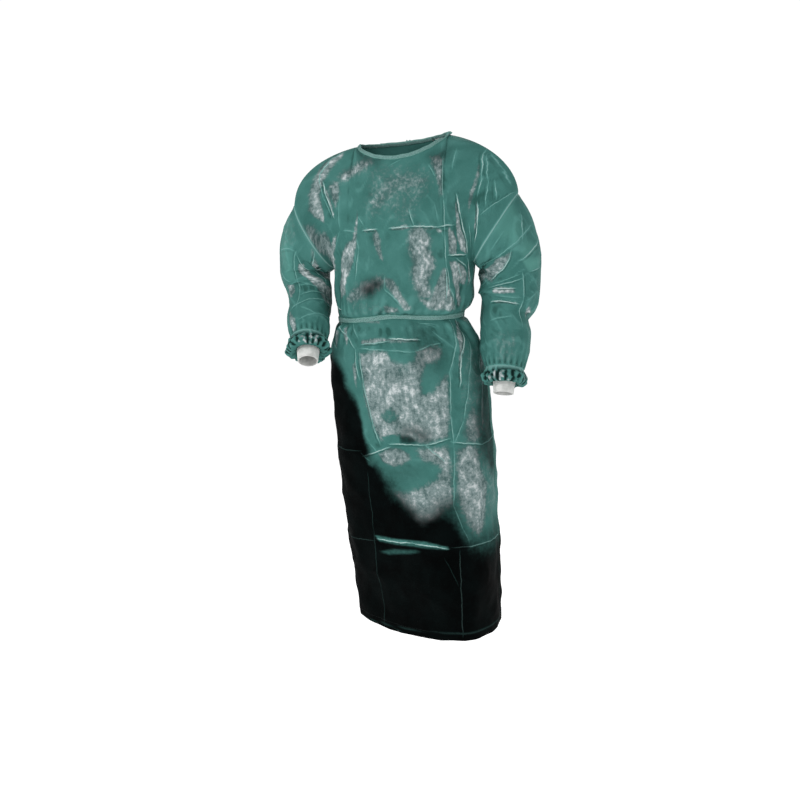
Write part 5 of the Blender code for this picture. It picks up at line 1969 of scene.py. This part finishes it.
def rib_tree(material):
    """Ribs laid down a cuff from the points of its upper ring, with the cuff's own wall between them."""
    nodes = Tree(
        "cuff_ribs",
        {"Rib": ("NodeSocketFloat", 0.0009), "Rib Length": ("NodeSocketFloat", CUFF_LENGTH)},
    )
    given = nodes.given.outputs
    sizes = {"Vertices": 8, "Side Segments": 6, "Radius": given["Rib"], "Depth": given["Rib Length"]}
    rib = nodes.put("GeometryNodeMeshCylinder", sizes)
    lift = nodes.put("ShaderNodeMath", {0: given["Rib Length"], 1: -0.5}, operation="MULTIPLY")
    down = nodes.put("ShaderNodeCombineXYZ", {"Z": lift.outputs[0]})
    set_down = nodes.put("GeometryNodeTransform", {"Geometry": rib.outputs[0], "Translation": down.outputs[0]})
    rotation = nodes.turned("Z", nodes.named("upward"), "Z", "X")
    return nodes.end(given["Geometry"], set_down.outputs[0], rotation, material)


def cuff_ring(path, count, share, radius):
    """One ring of a cuff at a share of its length."""
    centre, ahead, outward, forward = (part[-1] for part in path[:4])
    turn = 2 * math.pi * np.arange(count) / count
    place = centre + ahead * (CUFF_TOP + CUFF_LENGTH * share)
    size = np.full(count, radius)
    return ring_of(place, outward, forward, size, size, turn)


def make_cuff(name, path):
    """A white rib-knit tube: a plain wall with ribs laid down its outside and a turned lower edge."""
    ribs = gown().cuff_ribs
    outer, inner = [], []
    for share, swell in CUFF_LEVELS:
        radius = CUFF_RADIUS - CUFF_TAPER * share
        outer.append(cuff_ring(path, CUFF_STEPS, share, radius - RIB_SUNK + swell))
        inner.append(cuff_ring(path, CUFF_STEPS, share, radius - CUFF_WALL - swell / 2))
    tube = wall_mesh(name, np.array(outer), np.array(inner), True)
    faces_outward(tube)
    top = cuff_ring(path, ribs, 0.0, CUFF_RADIUS - RIB_SUNK)
    low = cuff_ring(path, ribs, 1.0, CUFF_RADIUS - CUFF_TAPER - RIB_SUNK)
    middle = cuff_ring(path, ribs, 0.0, 0.0)
    guide = bpy.data.meshes.new("guide")
    guide.from_pydata(top.tolist(), [], [])
    set_field(guide, "upward", unit(top - low))
    set_field(guide, "facing", unit(top - middle))
    material = material_once("rib_knit", knit_material, gown())
    laid = made_by(rib_tree(material), guide, {"Rib": gown().rib_radius, "Rib Length": CUFF_LENGTH})
    mesh = joined(name, [tube, laid])
    mesh.materials.clear()
    return add_piece(name, mesh, material, [name.replace("gown_", "")])


# How far a stitch stands off the cloth, and on the binding the shares of its half thickness and its height
STITCH_STAND = 0.0003
BINDING_STITCH = (0.86, 0.26)


def seam_lines():
    """The sewn lines: beside the seams, at the hem, on the neck binding and along the belt."""
    cloth = surface()
    lines = []

    def add(name, rows, columns):
        line, out = cloth["grids"][name][rows, columns], cloth["normals"][name][rows, columns]
        shade = np.zeros(len(line))
        if name in cloth["paths"]:
            line, out, shade = (np.concatenate([part, part[:1]]) for part in (line, out, shade))
        else:
            shade = shade_field(*(part[rows, columns] for part in cloth["places"][name][:2]))
        lines.append((line + out * STITCH_STAND, out, shade))

    hem = int(np.argmin(np.abs(lower_drops() - (LENGTH - HEM_DROP)))) + YOKE_ROWS + 1
    below, whole = slice(YOKE_ROWS, -2), slice(None)
    for name in ("front", "back_left", "back_right"):
        add(name, hem, slice(1, -1))
    for name, column in (("front", 1), ("front", -2), ("back_left", 1), ("back_right", -2)):
        add(name, below, column)
    add("back_left", slice(4, -2), -3)
    add("back_right", slice(4, -2), 2)
    for name in SIDES:
        add(name, 1, whole)
        add(name, SLEEVE_ROWS - 1, whole)
    for part in (slice(1, SHOULDER_STEPS), slice(-SHOULDER_STEPS, -1)):
        add("front", 1, part)
    centres, out, upward = binding_line()
    stand, low = BINDING_STITCH
    face = centres + out * (BINDING_THICKNESS / 2) * stand - upward * BINDING_HEIGHT * low
    lines.append((face, out, np.zeros(len(face))))
    return lines


def make_stitches():
    """Every sewn line of the gown, made by one tree along its guides."""
    material = material_once("sewing_thread", thread_material, gown())
    values = {"Pitch": gown().stitch_pitch, "Stitch Length": gown().stitch_length, "Thread": gown().thread}
    mesh = made_by(stitch_tree(material), guide_lines(seam_lines()), values)
    return add_piece("gown_stitches", mesh, material, [])


def linear(red, green, blue):
    """A colour read on a 0 to 255 scale, as the shader takes it."""
    parts = [value / 255 for value in (red, green, blue)]
    return [value / 12.92 if value <= 0.04045 else ((value + 0.055) / 1.055) ** 2.4 for value in parts] + [1.0]


def colour_property(name, description, red, green, blue):
    return bpy.props.FloatVectorProperty(
        name=name, description=description, subtype="COLOR", size=4, min=0, max=1, default=linear(red, green, blue)
    )


def length_property(name, description, value, low, high):
    return bpy.props.FloatProperty(
        name=name, description=description, default=value, min=low, max=high, unit="LENGTH", precision=5
    )


class GownSettings(bpy.types.PropertyGroup):
    """Sizes and colours of the gown that a user would change."""

    cloth_wall: length_property("Cloth", "Thickness of the cloth", 0.0007, 0.0002, 0.0015)
    stitch_pitch: length_property("Stitch pitch", "From one stitch to the next", 0.0042, 0.002, 0.01)
    stitch_length: length_property("Stitch length", "Length of the thread that shows", 0.0029, 0.001, 0.008)
    thread: length_property("Thread", "Half the thickness of the thread", 0.00028, 0.0001, 0.001)
    rib_radius: length_property("Rib", "Half the width of one rib of the cuff", 0.00085, 0.0003, 0.002)
    cuff_ribs: bpy.props.IntProperty(name="Cuff ribs", description="Ribs round one cuff", default=64, min=24, max=120)
    cloth_gloss: bpy.props.FloatProperty(
        name="Gloss", description="How strongly the coated side reflects", default=0.03, min=0, max=1, subtype="FACTOR"
    )
    cloth_colour: colour_property("Cloth", "The green of the flat cloth", 65, 115, 109)
    cloth_deep: colour_property("Deep cloth", "The green where the cloth is denser", 53, 101, 95)
    # The paler green of flecks in the fibre, and the painted light on ridges and creases
    lit_crease_and_fleck: colour_property("Crease", "A soft crease", 90, 144, 138)
    # The painted shade in hollows and beside creases
    valley_shade: colour_property("Valley", "A hollow, or the shade beside a crease", 30, 66, 60)
    edge_colour: colour_property("Sharp crease", "A sharp crease that catches the light", 196, 212, 210)
    edge_green: colour_property("Pressed edge", "The pressed edge of a strip", 104, 158, 148)
    pale_colour: colour_property("Pale cloth", "Where the cloth is pulled tight", 92, 150, 140)
    # The greys of the painted sheen, the highlights painted on the coated cloth
    sheen_dull: colour_property("Dull patch", "The darker grey of the coated side", 70, 92, 91)
    sheen_grey: colour_property("Patch", "The grey of the coated side", 120, 137, 137)
    sheen_bright: colour_property("Bright patch", "The lightest grey of the coated side", 200, 207, 208)
    shade_colour: colour_property("Shade", "The deep shade low on the gown", 1, 2, 2)
    shade_lift: colour_property("Shade lift", "The lighter part of the deep shade", 4, 9, 9)
    trim_colour: colour_property("Trim", "Binding, belt and ties", 62, 106, 100)
    trim_pale: colour_property("Pale trim", "Where the binding, belt and ties are paler", 140, 172, 168)
    thread_colour: colour_property("Thread", "The sewing thread", 66, 118, 108)
    cuff_colour: colour_property("Cuff", "The knitted cuffs", 236, 236, 234)
    # The greyer white of the knit here and there, and the painted shade between its loops
    cuff_shade: colour_property("Cuff shade", "Between the loops of the knit", 205, 207, 204)
    floor_colour: colour_property("Floor", "The studio floor", 255, 255, 255)
    floor_drop: length_property("Floor drop", "From the shoulders down to the floor", 1.50, 1.25, 2.0)


class GOWN_OT_panels(bpy.types.Operator):
    """Make the front and the two lapped backs"""

    bl_idname = "gown.panels"
    bl_label = "Front and backs"

    def execute(self, context):
        material = material_once("body_cloth", cloth_material, gown())
        for name in ("front", "back_left", "back_right"):
            make_panel(name, material)
        return {"FINISHED"}


class GOWN_OT_sleeves(bpy.types.Operator):
    """Make the two sleeves with their gathered ends"""

    bl_idname = "gown.sleeves"
    bl_label = "Sleeves"

    def execute(self, context):
        material = material_once("body_cloth", cloth_material, gown())
        for name in SIDES:
            make_panel(name, material)
        return {"FINISHED"}


class GOWN_OT_cuffs(bpy.types.Operator):
    """Make the knitted cuffs"""

    bl_idname = "gown.cuffs"
    bl_label = "Knitted cuffs"

    def execute(self, context):
        paths = surface()["paths"]
        for name in SIDES:
            make_cuff(name.replace("sleeve", "gown_cuff"), paths[name])
        return {"FINISHED"}


class GOWN_OT_binding(bpy.types.Operator):
    """Make the neck binding"""

    bl_idname = "gown.binding"
    bl_label = "Neck binding"

    def execute(self, context):
        make_binding()
        return {"FINISHED"}


class GOWN_OT_belt(bpy.types.Operator):
    """Make the waist belt"""

    bl_idname = "gown.belt"
    bl_label = "Waist belt"

    def execute(self, context):
        make_belt()
        return {"FINISHED"}


class GOWN_OT_fastenings(bpy.types.Operator):
    """Make the knots and the tied ends behind"""

    bl_idname = "gown.fastenings"
    bl_label = "Knots and ties"

    def execute(self, context):
        make_fastenings()
        return {"FINISHED"}


class GOWN_OT_stitches(bpy.types.Operator):
    """Make the stitches, and state how each panel was cut"""
    # Make the stitches

    bl_idname = "gown.stitches"
    bl_label = "Stitches"

    def execute(self, context):
        stitches = make_stitches()
        return {"FINISHED"}


CAMERA_PLACE = (0.6946, -3.9392, -0.0300)
CAMERA_RIGHT = (0.98316, 0.17529, -0.05175)
CAMERA_UP = (0.02420, 0.15581, 0.98749)
CAMERA_LENS = 73.5
CAMERA_SENSOR = 36.0
CAMERA_FAR = 100.0

# Soft lamps: where each stands, what it faces, its width and height, and its power in watts
Lamp = namedtuple("Lamp", "name place aim wide tall power")
LAMPS = rows_of(
    Lamp,
    ("key", (-1.9, -2.5, 1.5), (0.0, 0.0, -0.5), 1.4, 1.4, 56),
    ("fill", (2.6, -1.6, 0.8), (0.0, 0.0, -0.5), 1.0, 1.8, 12),
    ("behind", (0.6, 3.0, 1.2), (0.0, 0.0, -0.5), 1.6, 1.6, 26),
)
BACKDROP_LIGHT = 1.04
ROOM_LIGHT = 0.54
FLOOR_GLOW = 0.50
FLOOR_SIZE = 30.0


def set_camera():
    right, up = Vector(CAMERA_RIGHT).normalized(), Vector(CAMERA_UP).normalized()
    back = right.cross(up)
    turned = Matrix([right, up, back]).transposed().to_4x4()
    lens = bpy.data.cameras.new("studio_camera")
    lens.lens, lens.sensor_width = CAMERA_LENS, CAMERA_SENSOR
    lens.clip_end = CAMERA_FAR
    seen = shown("studio_camera", lens)
    seen.matrix_world = Matrix.Translation(CAMERA_PLACE) @ turned
    bpy.context.scene.camera = seen


def set_lamps():
    """The soft lamps, and a room that is brighter to the camera than to the cloth."""
    for row in LAMPS:
        light = bpy.data.lights.new(row.name, "AREA")
        light.shape, light.size, light.size_y, light.energy = "RECTANGLE", row.wide, row.tall, row.power
        aim = Vector(row.aim) - Vector(row.place)
        turned = aim.to_track_quat("-Z", "Y").to_matrix().to_4x4()
        shown(row.name, light).matrix_world = Matrix.Translation(row.place) @ turned
    bpy.context.scene.view_settings.view_transform = "Standard"
    world = bpy.data.worlds.new("studio_world")
    world.use_nodes = True
    sky = world.node_tree.nodes["Background"]
    sky.inputs["Color"].default_value = (1.0, 1.0, 1.0, 1.0)
    path = world.node_tree.nodes.new("ShaderNodeLightPath")
    strength = world.node_tree.nodes.new("ShaderNodeMapRange")
    strength.inputs["To Min"].default_value = ROOM_LIGHT
    strength.inputs["To Max"].default_value = BACKDROP_LIGHT
    world.node_tree.links.new(path.outputs["Is Camera Ray"], strength.inputs["Value"])
    world.node_tree.links.new(strength.outputs[0], sky.inputs["Strength"])
    bpy.context.scene.world = world


def floor_material(settings):
    nodes = Nodes("studio_floor")
    place = nodes.put("ShaderNodeTexCoord").outputs["Object"]
    cloud = nodes.noise(place, 3.0, 2.0, 0.5)
    colour = nodes.blend(nodes.between(cloud, 0.3, 0.7, 0.0, 0.02), settings.floor_colour, (1.0, 1.0, 1.0, 1.0))
    rough = nodes.times_plus(cloud, 0.05, 0.9)
    nodes.shader.inputs["Emission Color"].default_value = (1.0, 1.0, 1.0, 1.0)
    nodes.shader.inputs["Emission Strength"].default_value = FLOOR_GLOW
    return nodes.finish(colour, rough, cloud, 0.0001, 0.1, 0.05)


def make_stage():
    """The pale floor, the soft lamps and the camera at the photo's angle."""
    shape = bmesh.new()
    bmesh.ops.create_grid(shape, x_segments=8, y_segments=8, size=FLOOR_SIZE)
    bmesh.ops.translate(shape, verts=shape.verts, vec=(0.0, 0.0, -gown().floor_drop))
    mesh = bpy.data.meshes.new("studio_floor")
    shape.to_mesh(mesh)
    shape.free()
    mesh.materials.append(floor_material(gown()))
    floor = shown("studio_floor", mesh)
    set_lamps()
    set_camera()


class GOWN_OT_stage(bpy.types.Operator):
    """Set the floor, the lamps and the camera"""

    bl_idname = "gown.stage"
    bl_label = "Stage"

    def execute(self, context):
        make_stage()
        return {"FINISHED"}


OPERATORS = (
    GOWN_OT_panels,
    GOWN_OT_sleeves,
    GOWN_OT_cuffs,
    GOWN_OT_binding,
    GOWN_OT_belt,
    GOWN_OT_fastenings,
    GOWN_OT_stitches,
    GOWN_OT_stage,
)


class GOWN_PT_panel(bpy.types.Panel):
    """The gown's sizes, colours and pieces"""

    bl_idname = "GOWN_PT_panel"
    bl_label = "Visitor gown"
    bl_space_type = "VIEW_3D"
    bl_region_type = "UI"
    bl_category = "Gown"

    def draw(self, context):
        settings = context.scene.gown
        for name in settings.bl_rna.properties.keys():
            if name not in ("rna_type", "name"):
                self.layout.prop(settings, name)
        for operator in OPERATORS:
            self.layout.operator(operator.bl_idname)


def register():
    bpy.utils.register_class(GownSettings)
    bpy.types.Scene.gown = bpy.props.PointerProperty(type=GownSettings)
    for operator in OPERATORS:
        bpy.utils.register_class(operator)
    bpy.utils.register_class(GOWN_PT_panel)


def unregister():
    bpy.utils.unregister_class(GOWN_PT_panel)
    for operator in reversed(OPERATORS):
        bpy.utils.unregister_class(operator)
    del bpy.types.Scene.gown
    bpy.utils.unregister_class(GownSettings)


def main():
    register()
    for operator in OPERATORS:
        group, name = operator.bl_idname.split(".")
        getattr(getattr(bpy.ops, group), name)()


if __name__ == "__main__":
    main()
